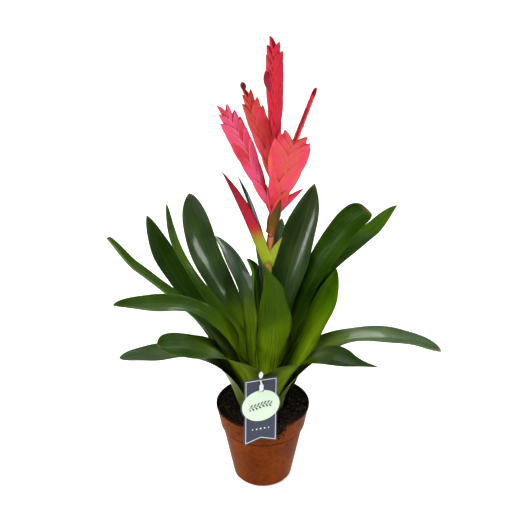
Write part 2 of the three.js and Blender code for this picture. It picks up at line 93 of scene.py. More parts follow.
# from the inmost to the outermost
LEAVES = [
    # leaf_01: its tone near 1 is painted light, lifting the inmost leaf out of the shade it stands
    # in
    strap(165, 15, 314, 84, 30, 40, full=0.75, point=0.5, hook=(-3, -9, -1), curl=1.5,
          tone=0.9, haze=0.8, pale=85, fresh=1),
    strap(96, 56, 404, 60, 15, 30, sway=27, rise=210, run=90, bow=(6.5, 0, 0),
          hook=(0, -2, -4), twist=60, tone=0.1, haze=0.9),
    strap(282, 36, 314, 86, 54, 52, full=0.3, point=0.8, bow=(12, 0, 0), hook=(-5, -3, 4),
          curl=1.5, tone=0.3, gloss=0.05, pale=70, fresh=1),
    strap(50, 100, 376, 74, 52, 42, rise=150, run=80, full=0.66, point=0.8, twist=22,
          tone=0.08, gloss=0.5),
    strap(115.5, 148, 283, 8, 26, 42, rise=140, run=90, tone=0.15, haze=1, fresh=0.7),
    strap(18, 131.5, 361, 40, 41, 26, rise=135, run=72, full=0.94, point=0.34, girth=1.3,
          bow=(3, 0, -4), hook=(2, 0, -4), curl=1.2, twist=34, tone=0.08, gloss=0.05),
    strap(169, 116.5, 369, 88, 15.5, 44, rise=158, run=108, full=0.8, point=0.6, clasp=1.9,
          girth=2.5, roll=-20, bow=(-3, 0, 0), tone=0.5, fresh=0.7),
    strap(76, 102, 322, 60, 36, 42, rise=85, run=85, tone=0.1, haze=0.9),
    strap(138.6, 122.5, 362, 85, 43.5, 30, rise=155, run=118, full=0.78, point=0.65,
          girth=0.78, twist=-22, tone=0.15, haze=0.3, gloss=0.5, fresh=0.7),
    strap(28, 196, 322.5, 18, 45, 30, rise=160, run=80, full=0.82, point=0.8, twist=-12,
          bow=(-2, 0, 3), hook=(-1, 0, 12.5), curl=0.8, tone=0.55, gloss=0.15),
    strap(204, 179, 279.8, 3, 26, 28, rise=152, run=100, full=0.78, point=0.6, clasp=1.3,
          girth=2.0, roll=-28, hook=(-3, 0, 2), curl=1.0, tone=0.25, gloss=0.2, fresh=0.7),
    strap(92, 150, 226, 0, 40, 30, rise=98, tone=0.2, haze=0.5),
    # leaf_13: its tone past 1 and its full sheath brightness are painted light, for the light
    # shining through it from behind
    strap(18, 94, 284, 72, 60, 36, rise=85, run=50, full=0.52, girth=0.88, twist=40,
          roll=22, tone=1.4, gloss=0.1, pale=90, fresh=1),
    strap(180, 183, 318, 42, 36, 40, rise=110, run=74, full=0.9, point=0.4, girth=1.0,
          bow=(1, 0, 1), hook=(-0.6, 0, 10.5), twist=14, tone=0.4, gloss=0.12),
    strap(152.5, 165, 334, 78, 42, 32, rise=98, run=100, full=0.7, girth=1.25, twist=-10,
          tone=0.12),
    strap(66, 125, 195, 0, 40, 30, tone=0.2, haze=0.4),
    strap(130, 116, 190, 0, 40, 30, tone=0.2, haze=0.4),
    strap(4, 225.3, 178, -24, 41, 20, sway=-2, rise=113, run=104, full=0.84, point=0.5,
          girth=0.75, tone=0.25, haze=0.3, gloss=0.3),
    strap(226, 150, 242, 24, 50, 16, sway=-8, lean=9, rise=118, run=88, full=0.8,
          point=0.65, clasp=0.79, open=85, twist=-24, tone=0.25, gloss=0.1),
    strap(312, 145, 200, -5, 46, 28, sway=17, lean=8, rise=92, run=80, full=0.46, point=1.0,
          girth=0.48, clasp=0.82, open=85, hook=(7, 0, 2), tone=-0.05, gloss=0.06, pale=40),
    strap(104, 140, 166, -10, 40, 30, rise=90, tone=0.2, haze=0.3),
    strap(48, 105, 172, -10, 40, 30, tone=0.2, haze=0.3),
    strap(192, 177, 193, 0, 40, 20, rise=110, run=108, full=0.76, point=0.6, girth=0.6,
          tone=0.35, haze=0.6, gloss=0.5),
]

STEM_PATH = [(0, 0, 105.4), (2, 0, 210), (8, 0, 320), (13.5, 0, 378), (16, 0, 430)]
STEM_RADII = (5.2, 3.7)
STEM_NODES = (0.6, 0.76, 0.68)  # where it swells, as shares of its length

# The stem's own bracts. at: how far up it they sit; face and lean: their direction; spread,
# depth and length: their size; clasp: how far they reach round it; taper: how late they close;
# hook: how far the tip bends out; neck: the width at the foot; broad: where they are widest.
SCAPE_BRACTS = [
    dict(at=0.6, face=184, lean=20.6, length=129, spread=8, clasp=6.2, depth=7.2, taper=2.6,
         hook=9, look="scape_long"),
    dict(at=0.6, face=335, lean=12, length=42, spread=6.5, clasp=6, depth=5.4, taper=1.5,
         look="scape_green"),
    dict(at=0.73, face=296, lean=8, length=48, spread=12, clasp=4.2, depth=13.5, neck=0.34, hook=-4,
         taper=1.8, broad=0.7, look="scape_olive"),
    dict(at=0.8, face=352, lean=34, length=48, spread=6, clasp=5, depth=4.8, taper=2,
         look="scape_pink"),
]
RACHIS = 1.8  # the radius of a spike's stalk
SEATS = (0.03, 0.96)  # where its first and last bract sit, as shares of its length
CROWDING, YOUNG, TUCK = 0.85, 0.55, 0.2  # of the bracts: closer up, smaller down, tips drawn in

# face: the direction that a row of bracts faces; bow: how far the stalk bends that way; width,
# length and depth: a bract's size, and tip_length: the last one's; narrow: the width at the tip
# as a share of the rest, and late: where it starts to narrow.
SPIKES = [
    dict(start=(14.5, 0, 416), end=(12.3, 0, 548), face=-32, bracts=16, width=26.5, length=60,
         tip_length=24, depth=4.5, narrow=0.52, late=0.8, look="spike_red"),
    dict(start=(16, 5, 386), end=(-12.5, 8, 490), face=-28, bow=4, bracts=12, width=33,
         length=64, tip_length=28, depth=4, narrow=0.36, look="spike_olive"),
    dict(start=(12, -5, 362), end=(-37.5, -8, 479), face=24, bow=4, bracts=14, width=31,
         length=68, tip_length=26, depth=4.5, narrow=0.42, late=0.66, look="spike_pink"),
    dict(start=(10, -6, 362), end=(29, -12, 438), face=0, bracts=10, width=53, length=74,
         tip_length=33, depth=4, look="spike_coral"),
    dict(start=(18, 6, 400), end=(52, 14, 490), face=80, bracts=9, width=16, length=42,
         tip_length=24, depth=3, look="spike_red"),
]

FLOWER_SEAT, FLOWER_SIZE = 0.66, (17, 3.2, 27)

CARD_FOOT = Vector((-3, -69.5, 93))
CARD_YAW, CARD_LEAN, CARD_ROLL = 23, 9, 4.5
CARD_WIDTH, CARD_HEIGHT, CARD_THICKNESS, CARD_NOTCH = 43, 84, 0.8, 6
OVAL_HEIGHT, OVAL_RADII = 49.5, (26, 21)
BORDER_LINE = (1.7, 2.4)  # from the card's edge
SPRIG_LENGTH, LEAFLET_STEP, LEAFLET_LENGTH = 30, 4.4, 5.2
BEAD_HEIGHT, BEAD_STEP, BEAD_SIZE = 19.5, 5.2, 1.2
SLOTS, SLOT_WIDTH, SLOT_HEIGHT = (69, 79.5), 7.4, 4.2
STAKE_THICKNESS, STAKE_HEAD, STAKE_FOOT = 1, 9, (7, -22)
STAKE_HALF, STAKE_NECK, STAKE_EDGE = 2.6, 1.2, 0.3

SENSOR, PHOTO_SIDE, FOCAL_LENGTH = 36, 524, 826.5  # the last two in pixels
CAMERA_PLACE, CAMERA_TILT = (-0.001, -0.9, 0.7034), 23.95


# ---- node trees ------------------------------------------------------------------------------
class Wire:
    """A socket. An expression on it adds a Math node, or a Vector Math node on vectors."""

    def __init__(self, tree, socket):
        self.tree = tree
        self.socket = socket

    def out(self, name):
        """Another output of the same node."""
        return Wire(self.tree, self.socket.node.outputs[name])

    def __abs__(self):
        return self.tree.maths("ABSOLUTE", self)


def operator(operation, reflected):
    """The method of Wire that adds a node for an operator."""
    def apply(wire, other):
        values = (other, wire) if reflected else (wire, other)
        return wire.tree.maths(operation, *values)
    return apply


for word, operation in (("add", "ADD"), ("sub", "SUBTRACT"), ("mul", "MULTIPLY"),
                        ("truediv", "DIVIDE"), ("pow", "POWER")):
    setattr(Wire, f"__{word}__", operator(operation, False))
    setattr(Wire, f"__r{word}__", operator(operation, True))


class Tree:
    """A node tree under construction."""

    def __init__(self, tree):
        self.tree = tree

    def node(self, kind, inputs=None, stops=(), **settings):
        """Adds a node of a type, with its sockets' values or links, a ramp's stops and settings."""
        made = self.tree.nodes.new(kind)
        for key, value in settings.items():
            setattr(made, key, value)
        for _ in stops[2:]:
            made.color_ramp.elements.new(1)
        for number, (place_of_stop, colour) in enumerate(stops):
            made.color_ramp.elements[number].position = place_of_stop
            made.color_ramp.elements[number].color = (*colour, 1)
        for key, value in (inputs or {}).items():
            if isinstance(key, int):
                socket = made.inputs[key]
            else:
                socket = next(s for s in made.inputs if s.name == key and s.enabled)
            self.put(socket, value)
        return Wire(self, next(s for s in made.outputs if s.enabled))

    def put(self, socket, value):
        """Links a wire to a socket, or gives it a value."""
        if isinstance(value, Wire):
            self.tree.links.new(value.socket, socket)
        elif socket.type == "RGBA" and len(value) == 3:
            socket.default_value = (*value, 1)
        else:
            socket.default_value = value

    def maths(self, operation, *values):
        """A Math node, or a Vector Math node where a value is a vector."""
        kind, inputs = "ShaderNodeMath", dict(enumerate(values))
        vectors = [self.is_vector(value) for value in values]
        if any(vectors):
            kind = "ShaderNodeVectorMath"
            if operation == "MULTIPLY" and not all(vectors):
                vector, factor = values if vectors[0] else reversed(values)
                operation, inputs = "SCALE", {0: vector, "Scale": factor}
        return self.node(kind, inputs, operation=operation)

    @staticmethod
    def is_vector(value):
        if isinstance(value, Wire):
            return value.socket.type == "VECTOR"
        return isinstance(value, (tuple, Vector))

    def most(self, first, *others):
        for other in others:
            first = self.maths("MAXIMUM", first, other)
        return first

    def least(self, first, *others):
        for other in others:
            first = self.maths("MINIMUM", first, other)
        return first

    def sine(self, x):
        return self.maths("SINE", x)

    def cosine(self, x):
        return self.maths("COSINE", x)

    def smooth(self, x, low, high):
        """0 below low, 1 above high, and a smooth step between them."""
        ends = {"Value": x, "From Min": low, "From Max": high}
        return self.node("ShaderNodeMapRange", ends, interpolation_type="SMOOTHSTEP")

    def combine(self, x, y, z):
        return self.node("ShaderNodeCombineXYZ", {0: x, 1: y, 2: z})

    def separate(self, vector):
        made = self.node("ShaderNodeSeparateXYZ", {0: vector})
        return made, made.out("Y"), made.out("Z")

    def unit(self, vector):
        return self.maths("NORMALIZE", vector)

    def cross(self, a, b):
        return self.maths("CROSS_PRODUCT", a, b)

    def dot(self, a, b):
        return self.maths("DOT_PRODUCT", a, b).out("Value")


def mix(a, b, share):
    """From a to b, of numbers, vectors or sockets of either."""
    return a + (b - a) * share


class GeometryTree(Tree):
    def __init__(self, name):
        super().__init__(bpy.data.node_groups.new(name, "GeometryNodeTree"))
        self.names = {}
        self.entry = self.tree.nodes.new("NodeGroupInput")
        [self.base] = self.given("Geometry", "Geometry")

    def given(self, names, kind="Float"):
        """Named inputs of one kind."""
        for name in names.split():
            made = self.tree.interface.new_socket(
                name, in_out="INPUT", socket_type="NodeSocket" + kind)
            self.names[name] = made.identifier
        return [Wire(self, self.entry.outputs[name]) for name in names.split()]

    def keep(self, geometry, name, value):
        """Stores a number at each point as a named attribute."""
        return self.node("GeometryNodeStoreNamedAttribute",
                         {"Geometry": geometry, "Name": name, "Value": value},
                         data_type="FLOAT", domain="POINT")

    def chance(self, low, high, seed):
        """A random number for each element."""
        return self.node("FunctionNodeRandomValue", {"Min": low, "Max": high, "Seed": seed},
                         data_type="FLOAT")

    def along(self, curve, share):
        """The place on a curve at a share of its length, and the curve's direction there."""
        made = self.node("GeometryNodeSampleCurve", {"Curves": curve, "Factor": share},
                         mode="FACTOR")
        return made.out("Position"), made.out("Tangent")

    def joined(self, *parts):
        """Several geometries as one."""
        both = self.tree.nodes.new("GeometryNodeJoinGeometry")
        for part in parts:
            self.tree.links.new(part.socket, both.inputs[0])
        return Wire(self, both.outputs[0])

    def merged(self, geometry, gap):
        return self.node("GeometryNodeMergeByDistance", {"Geometry": geometry, "Distance": gap})

    def finish(self, geometry):
        """Ends the tree: real geometry, in metres, smooth, in its material."""
        [material] = self.given("finish", "Material")
        for kind, inputs in (("RealizeInstances", {}), ("Transform", {"Scale": (MM, MM, MM)}),
                             ("SetShadeSmooth", {}), ("SetMaterial", {"Material": material})):
            geometry = self.node("GeometryNode" + kind, {"Geometry": geometry, **inputs})
        self.tree.interface.new_socket(
            "Geometry", in_out="OUTPUT", socket_type="NodeSocketGeometry")
        exit_node = self.tree.nodes.new("NodeGroupOutput")
        self.tree.links.new(geometry.socket, exit_node.inputs["Geometry"])

    def grow(self, name, finish, base=None, **values):
        """A plain mesh object that the tree makes with these values."""
        holder = bpy.data.objects.new(name + "_holder", base or bpy.data.meshes.new("empty"))
        bpy.context.scene.collection.objects.link(holder)
        modifier = holder.modifiers.new("grow", "NODES")
        modifier.node_group = self.tree
        for key, value in dict(values, finish=finish).items():
            modifier[self.names[key]] = value
        mesh = settled(holder)
        bpy.data.objects.remove(holder)
        return place(name, mesh)


def settled(holder, gap=2e-6):
    """The mesh of an object with its modifiers applied, merged and facing outward."""
    bpy.context.view_layer.update()
    evaluated = holder.evaluated_get(bpy.context.evaluated_depsgraph_get())
    mesh = bpy.data.meshes.new_from_object(evaluated)
    shell = bmesh.new()
    shell.from_mesh(mesh)
    bmesh.ops.remove_doubles(shell, verts=shell.verts, dist=gap)
    bmesh.ops.recalc_face_normals(shell, faces=shell.faces)
    shell.to_mesh(mesh)
    shell.free()
    return mesh


def mesh_of(name, points, faces):
    mesh = bpy.data.meshes.new(name)
    mesh.from_pydata(points, [], faces)
    return mesh


def place(name, mesh):
    """An object of that mesh at the origin."""
    mesh.name = name
    made = bpy.data.objects.new(name, mesh)
    bpy.context.scene.collection.objects.link(made)
    return made


def finished(mesh, finish):
    """Scales a mesh from millimetres, smooths it and gives it its material."""
    mesh.transform(Matrix.Scale(MM, 4))
    mesh.shade_smooth()
    mesh.materials.clear()
    mesh.materials.append(finish)
    return mesh


def closed_piece(name, mesh, finish):
    """A piece of a closed mesh in millimetres."""
    piece = place(name, mesh)
    piece.data = finished(settled(piece), finish)
    return piece


def fit(piece, node):
    """The piece belongs to the object, and stands for this node."""
    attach(piece, "root")
    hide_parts(node)


# ---- finishes --------------------------------------------------------------------------------
class Finish(Tree):
    """A material on the Principled shader."""

    def __init__(self, name, **uniform):
        self.made = bpy.data.materials.new(name)
        self.made.use_nodes = True
        super().__init__(self.made.node_tree)
        self.shader = self.tree.nodes["Principled BSDF"]
        self.set(**uniform)

    def set(self, **values):
        for socket in self.shader.inputs:
            key = socket.name.lower().replace(" ", "_")
            if key in values:
                self.put(socket, values[key])

    def spot(self):
        """Object coordinates."""
        return self.node("ShaderNodeTexCoord").out("Object")

    def attribute(self, name, output="Fac"):
        return self.node("ShaderNodeAttribute", attribute_name=name).out(output)

    def grain(self, vector, scale, detail=4.0, roughness=0.5):
        """Noise from 0 to 1."""
        return self.node("ShaderNodeTexNoise", {
            "Vector": vector, "Scale": scale, "Detail": detail, "Roughness": roughness})

    def blend(self, low, high, share):
        """A colour from low to high."""
        return self.node("ShaderNodeMix", {0: share, 6: low, 7: high}, data_type="RGBA")

    def band(self, x, low, high, soft=0.15):
        """1 between low and high, and 0 elsewhere."""
        above = self.smooth(x, high - soft, high + soft)
        return self.smooth(x, low - soft, low + soft) * (1 - above)

    def material(self, colour, roughness, height, depth, **more):
        """The material, raised by a height from 0 to 1, depth in millimetres."""
        bump = self.node("ShaderNodeBump", {"Distance": depth * MM, "Height": height})
        self.set(base_color=colour, roughness=roughness, normal=bump, **more)
        return self.made


def leaf_finish(tone, haze, gloss, pale, fresh):
    """Dark glossy green above, paler below, yellow green at the sheath, with fine long veins, a
    painted grey sheen and a sheath painted brighter against its shade.
    """
    f = Finish("leaf_green", coat_roughness=0.14, specular_ior_level=0.04 + 0.45 * gloss)
    u, v, face, run = (f.attribute(name) for name in ("along", "across", "face", "run"))
    aside = abs(v)
    above = f.smooth(face, -0.1, 0.1)
    veins = f.grain(f.combine(v * 9, u * 1.6, tone), 3.0, 5.0, 0.6)
    patches = f.grain(f.spot(), 28.0, 3.0)

    dark = mix(Vector((0.009, 0.026, 0.001)), Vector((0.04, 0.1, 0.001)), tone)
    light = mix(Vector((0.034, 0.085, 0.003)), Vector((0.14, 0.28, 0.004)), tone)
    # a painted sheen: the greyish haze of light on the leaves behind, mixed into their colour
    bloom = Vector((0.035, 0.065, 0.04))
    dark, light = mix(dark, bloom * 0.6, haze * 0.6), mix(light, bloom * 1.5, haze * 0.6)
    upper = f.blend(dark, light, f.smooth(veins * 0.7 + patches * 0.5, 0.42, 0.86))
    rib = f.smooth(aside, 0.0, 0.1)
    upper = f.blend(light, upper, rib * 0.45 + 0.55)
    below = mix(Vector((0.04, 0.082, 0.003)), Vector((0.1, 0.185, 0.005)), tone)
    lower = f.blend(below * 0.6, below * 1.2, f.smooth(veins, 0.3, 0.75))
    blade = f.blend(lower, upper, above)
    blade = f.blend(blade, (0.08, 0.2, 0.015), f.smooth(aside, 0.94, 1.0) * 0.5)

    # painted light: the sheath's yellow green is painted up to twice as bright, against the shade
    # among the leaves
    bright = mix(Vector((0.19, 0.29, 0.006)), Vector((0.4, 0.62, 0.02)), fresh)
    sheath = f.blend(bright, bright * 0.45, f.smooth(veins, 0.35, 0.65))
    folded = f.smooth(aside + patches * 0.8 - fresh * 0.3, 0.75, 1.15)
    sheath = f.blend(sheath, (0.07, 0.085, 0.008), folded * 0.8)
    colour = f.blend(sheath, blade, f.smooth(run + patches * 50 - 25, pale, pale + 95))
    colour = f.blend(colour, (0.17, 0.12, 0.04), f.smooth(u, 0.975, 1.0) * 0.7)
    roughness = mix(0.48, 0.32, above) + patches * 0.08
    wax = (above * 0.8 + 0.2) * (patches * 0.8 + 0.6) * gloss
    furrows = f.grain(f.combine(v * 26, u * 2.4, 0), 2.0, 4.0) + rib * 0.6
    return f.material(colour, roughness, furrows, 0.35, coat_weight=wax)


def bract_finish(name, body, dark, keel, keel_share, rim=(0.6, 0.2, 0.12),
                 blush=(0.62, 0.03, 0.09), rim_share=0.12, inner=None):
    """A folded bract: a coloured keel, clouds of blush, a fine pale margin and long veins."""
    f = Finish(name, coat_weight=0.12, coat_roughness=0.25, specular_ior_level=0.25)
    u, v, tone = (f.attribute(word) for word in ("along", "across", "tone"))
    aside = abs(v)
    spot = f.spot()
    veins = f.grain(f.combine(v * 8, u * 1.5, tone * 7), 2.5, 5.0, 0.65)
    patches = f.grain(spot, 60.0, 3.0)
    flesh = f.blend(dark, body, f.smooth(veins * 0.8 + patches * 0.5 + tone * 0.3, 0.55, 1.0))
    ridge = f.smooth(1 - aside + patches * 0.5 + tone * 0.3, 1.35 - keel_share, 1.75 - keel_share)
    flesh = f.blend(flesh, keel, ridge * f.smooth(u, 0.1, 0.6) * 0.9)
    clouds = f.smooth(f.grain(spot, 38.0, 3.0) + tone * 0.2, 0.5, 0.72)
    flesh = f.blend(flesh, blush, clouds * 0.75)
    if inner:
        seam = f.smooth(aside + patches * 0.7, 0.85, 1.3) * f.smooth(u, 0.15, 0.7)
        flesh = f.blend(flesh, inner, seam * 0.35)
    margin = f.smooth(aside, 0.88, 1.0) * f.smooth(u, 0.3, 0.7)
    flesh = f.blend(flesh, rim, margin * rim_share)
    flesh = f.blend(flesh, tuple(0.35 * c for c in keel), f.smooth(u, 0.93, 1.0) * 0.7)
    return f.material(flesh, 0.36 + patches * 0.12, veins, 0.25)


def scape_finish(name, stops):
    """A scape bract, coloured from its base to its tip, with fine long veins."""
    f = Finish(name, coat_weight=0.1, coat_roughness=0.2, specular_ior_level=0.15)
    u, v = f.attribute("along"), f.attribute("across")
    veins = f.grain(f.combine(v * 8, u * 1.5, 0), 2.5, 5.0, 0.65)
    flesh = f.node("ShaderNodeValToRGB", {0: u + (veins - 0.5) * 0.2}, stops)
    keel = f.blend(flesh, (0, 0, 0), 0.35)
    flesh = f.blend(keel, flesh, f.smooth(abs(v), 0.0, 0.25))
    return f.material(flesh, 0.4, veins, 0.25)


SCAPE_STOPS = {
    "scape_long": [(0.0, (0.4, 0.48, 0.03)), (0.27, (0.3, 0.33, 0.02)), (0.37, (0.4, 0.07, 0.03)),
                   (0.44, (0.42, 0.012, 0.035)), (1.0, (0.22, 0.006, 0.012))],
    "scape_green": [(0.0, (0.4, 0.48, 0.03)), (0.6, (0.3, 0.4, 0.03)), (1.0, (0.34, 0.2, 0.04))],
    "scape_olive": [(0.0, (0.38, 0.13, 0.03)), (0.3, (0.16, 0.075, 0.008)),
                    (0.7, (0.075, 0.055, 0.003)), (1.0, (0.16, 0.02, 0.01))],
    "scape_pink": [(0.0, (0.36, 0.1, 0.05)), (0.4, (0.62, 0.05, 0.11)), (1.0, (0.5, 0.02, 0.06))],
}


def stem_finish():
    """Orange brown stem with fine lengthwise fibres."""
    f = Finish("scape_stem", coat_weight=0.2, coat_roughness=0.3)
    x, y, z = f.separate(f.spot())
    fibres = f.grain(f.combine(x * 60, y * 60, z * 6), 14.0, 4.0)
    flesh = f.blend((0.32, 0.3, 0.05), (0.45, 0.13, 0.03), f.smooth(z, 0.22, 0.34))
    flesh = f.blend(flesh, (0.5, 0.24, 0.09), f.smooth(fibres, 0.4, 0.8) * 0.6)
    flesh = f.blend(flesh, (0.09, 0.03, 0.008), f.band(z, 0.3365, 0.3395, 0.0008) * 0.85)
    return f.material(flesh, 0.42, fibres, 0.2)


def pot_finish():
    """Terracotta coloured plastic, faintly mottled, with smears and specks of compost, and a
    painted shadow under the collar.
    """
    f = Finish("terracotta_plastic", specular_ior_level=0.04)
    spot = f.spot()
    x, y, z = f.separate(spot)
    turn = f.maths("ARCTAN2", y, x)
    mottle = f.grain(spot, 26.0, 6.0, 0.65)
    streaks = f.grain(f.combine(turn * 14, z * 8, 0), 1.0, 4.0)
    shade = mottle * 0.6 + streaks * 0.15 + f.grain(spot, 210.0, 3.0) * 0.3
    body = f.blend((0.11, 0.024, 0.002), (0.2, 0.045, 0.004), f.smooth(shade, 0.36, 0.68))
    strewn = f.smooth(f.grain(spot, 40.0, 2.0), 0.42, 0.62)
    specks = f.smooth(f.grain(spot, 420.0, 2.0), 0.69, 0.74) * strewn
    smear = f.smooth(f.grain(spot, 95.0, 6.0, 0.7), 0.56, 0.66) * f.smooth(z, 0.05, 0.1)
    near_rim = f.smooth(f.grain(spot, 160.0, 5.0, 0.7) + (z - 0.104) * 45, 0.45, 0.62)
    # painted shadow: a dark band on the wall just under the collar's step, where its shade falls
    wavy = z + (mottle - 0.5) * 0.0012
    painted_collar_shadow = f.band(wavy, 0.0745, 0.0772, 0.0007) * f.smooth(streaks, 0.15, 0.5)
    beside = f.maths("DISTANCE", spot, tuple(MM * c for c in SPILL_PLACE)).out("Value")
    spilled = f.smooth(f.grain(spot, 230.0, 5.0, 0.7) - beside * 20, 0.3, 0.4)
    dirt_and_painted_shadow = f.most(specks, smear * 0.5, near_rim * 0.85, painted_collar_shadow * 0.6, spilled)
    colour = f.blend(body, (0.018, 0.01, 0.007), dirt_and_painted_shadow)
    height = f.grain(spot, 900.0, 2.0) * 0.3 + dirt_and_painted_shadow * 0.7
    return f.material(colour, 0.42 + dirt_and_painted_shadow * 0.4 + mottle * 0.1, height, 0.18)


def compost_finish():
    """Peat: nearly black, with brown fibres and a few pale grains."""
    f = Finish("compost_peat", specular_ior_level=0.25)
    spot = f.spot()
    clods = f.grain(spot, 260.0, 6.0, 0.7)
    colour = f.blend((0.002, 0.0014, 0.001), (0.062, 0.037, 0.022), f.smooth(clods, 0.44, 0.7))
    pale = f.smooth(f.grain(spot, 900.0, 1.0), 0.74, 0.8)
    return f.material(f.blend(colour, (0.11, 0.075, 0.045), pale * 0.5), 0.95, clods, 1.2)


def fibre_finish():
    """Bits of bark and fibre in the compost."""
    f = Finish("compost_fibre", specular_ior_level=0.25)
    strands = f.grain(f.spot(), 600.0, 3.0)
    colour = f.blend((0.02, 0.011, 0.006), (0.1, 0.058, 0.03), strands)
    return f.material(colour, 0.9, strands, 0.3)


def crown_finish():
    """Pale green flesh with fine fibres."""
    f = Finish("crown_flesh", coat_weight=0.1)
    fibres = f.grain(f.spot(), 240.0, 4.0)
    flesh = f.blend((0.1, 0.09, 0.02), (0.2, 0.22, 0.06), f.smooth(fibres, 0.35, 0.7))
    return f.material(flesh, 0.6, fibres, 0.4)


def stake_finish():
    """Cloudy white plastic, slightly scuffed."""
    f = Finish("stake_plastic", coat_weight=0.15)
    scuff = f.grain(f.spot(), 500.0, 4.0)
    colour = f.blend((0.62, 0.66, 0.66), (0.78, 0.81, 0.8), f.smooth(scuff, 0.35, 0.6))
    return f.material(colour, 0.35 + scuff * 0.15, scuff, 0.05)


def card_finish():
    """Slate blue card with a white border line and beads, and a trailing sprig in a pale oval."""
    f = Finish("card_print", coat_weight=0.05, coat_roughness=0.25, specular_ior_level=0.12)
    x, y, _ = f.separate(f.attribute("print", "Vector"))
    side = CARD_WIDTH / 2
    slope = math.cos(math.atan2(CARD_NOTCH, side))
    below = (y - CARD_NOTCH + abs(x) * (CARD_NOTCH / side)) * slope
    line = f.band(f.least(side - abs(x), CARD_HEIGHT - y, below), *BORDER_LINE)

    up = y - OVAL_HEIGHT
    across, tall = OVAL_RADII
    ring = ((x * x) * (1 / across**2) + (up * up) * (1 / tall**2)) ** 0.5
    oval = 1 - f.smooth(ring, 0.93, 0.95)
    wander = up - f.sine(x * 0.16 + 0.4) * 1.6
    off = abs(wander)
    cell = f.maths("FLOORED_MODULO", x + f.maths("SIGN", wander) * 1.1, LEAFLET_STEP)
    along = cell * 0.68 + off * 0.73 - 0.6
    aside = abs(off * 0.68 - cell * 0.73)
    leaflet = f.smooth(along * (LEAFLET_LENGTH - along) * 0.16 - aside, 0.0, 0.2)
    stalk = 1 - f.smooth(off, 0.22, 0.4)
    sprig = f.most(leaflet, stalk) * f.smooth(SPRIG_LENGTH / 2 - abs(x), 0.0, 0.6)
    beads = 0.0
    for k in range(-2, 3):
        far = abs(x - k * BEAD_STEP) + abs(y - BEAD_HEIGHT)
        size = BEAD_SIZE - abs(k) * 0.15
        beads = f.most(beads, 1 - f.smooth(far, size, size + 0.25))

    paper = f.grain(f.spot(), 700.0, 3.0)
    slate = f.blend((0.052, 0.058, 0.085), (0.078, 0.086, 0.12), paper)
    mint = f.blend((0.58, 0.7, 0.56), (0.68, 0.78, 0.64), paper)
    colour = f.blend(slate, (0.78, 0.8, 0.8), f.most(line * (1 - oval), beads))
    colour = f.blend(colour, mint, oval)
    colour = f.blend(colour, (0.07, 0.1, 0.1), sprig * oval)
    f.set(base_color=colour, roughness=0.4 + paper * 0.1)
    return f.made


# ---- leaves ----------------------------------------------------------------------------------
def outward(azimuth):
    """The level direction at an angle in degrees from +X."""
    return Vector((math.cos(math.radians(azimuth)), math.sin(math.radians(azimuth)), 0))


def square_to(along, look):
    """A direction turned square to a line."""
    return (look - along * look.dot(along)).normalized()


def leaf_tree():
    """A leaf: a closed section that is carried along the leaf's middle line."""
    t = GeometryTree("leaf")
    start, rise_to, fall_from, tip, away, bow, hook = t.given(
        "start rise_to fall_from tip away bow hook", "Vector")
    radius, length, width, clasp, girth, open_from = t.given(
        "radius length width clasp girth open")
    fold, full, twist, roll, wave, phase, point, curl = t.given(
        "fold full twist roll wave phase point curl")
    line = t.node("GeometryNodeCurvePrimitiveBezierSegment", {
        "Resolution": 96, "Start": start, "Start Handle": rise_to, "End Handle": fall_from,
        "End": tip}, mode="POSITION")
    grid = t.node("GeometryNodeMeshGrid", {
        "Size X": 1.0, "Size Y": 1.0, "Vertices X": LEAF_STEPS, "Vertices Y": LEAF_ROUND})
    x, y, _ = t.separate(t.node("GeometryNodeInputPosition"))
    u = 1 - (0.5 - x) ** 1.3
    run = u * length
    turn = (y + 0.5) * TAU
    v, across = t.cosine(turn), t.sine(turn)
    face = t.maths("SIGN", across) * abs(across) ** 0.5
    for name, value in (("along", u), ("across", v), ("face", face), ("run", run)):
        grid = t.keep(grid, name, value)

    centre, along = t.along(line, u)
    centre = centre + bow * t.sine(u * math.pi) + hook * (t.smooth(u, 0.86, 1.06) * 2)
    opened = t.smooth(run, open_from, open_from + 75)
    level = t.cross((0, 0, 1), away)
    side = t.unit(level - along * (t.dot(level, along) * opened))
    side = t.node("ShaderNodeVectorRotate", {
        "Vector": side, "Axis": along, "Angle": twist * u * u + roll * opened},
        rotation_type="AXIS_ANGLE")
    upper_side = t.unit(t.cross(along, side))
    inward = t.unit(mix(away * -1, upper_side, opened))
    from_axis = t.most(radius, t.dot(centre, away))
    past = t.most(0.0, (u - full) / (1 - full))
    body = mix(girth, 1.0, t.smooth(u, 0.22, 0.66))
    blade = width * 0.5 * body * t.most(0.0, 1 - past ** 2.2) ** point
    sheath = t.least(from_axis * math.radians(SHEATH_WRAP), width * clasp)
    half = mix(sheath, blade, t.smooth(run, open_from + 5, open_from + 80))
    bend = mix(1 / from_axis, fold * (1 + curl * t.smooth(u, 0.84, 1.0)) / half, opened)
    angle = bend * half * v
    facing = inward * t.cosine(angle) - side * t.sine(angle)
    thick = LEAF_THICKNESS + LEAF_RIB * (1 - v * v) * opened * (1 - u)
    ripple = wave * v * v * opened * t.sine(u * 21 + phase + v * 1.3)
    ripple = ripple * t.smooth(1 - u, 0.0, 0.2)
    where = centre + side * (t.sine(angle) / bend) + inward * ((1 - t.cosine(angle)) / bend)
    where = where + facing * (thick * face * 0.5 + ripple)
    skin = t.node("GeometryNodeSetPosition", {"Geometry": grid, "Position": where})
    t.finish(t.merged(skin, 0.004))
    return t


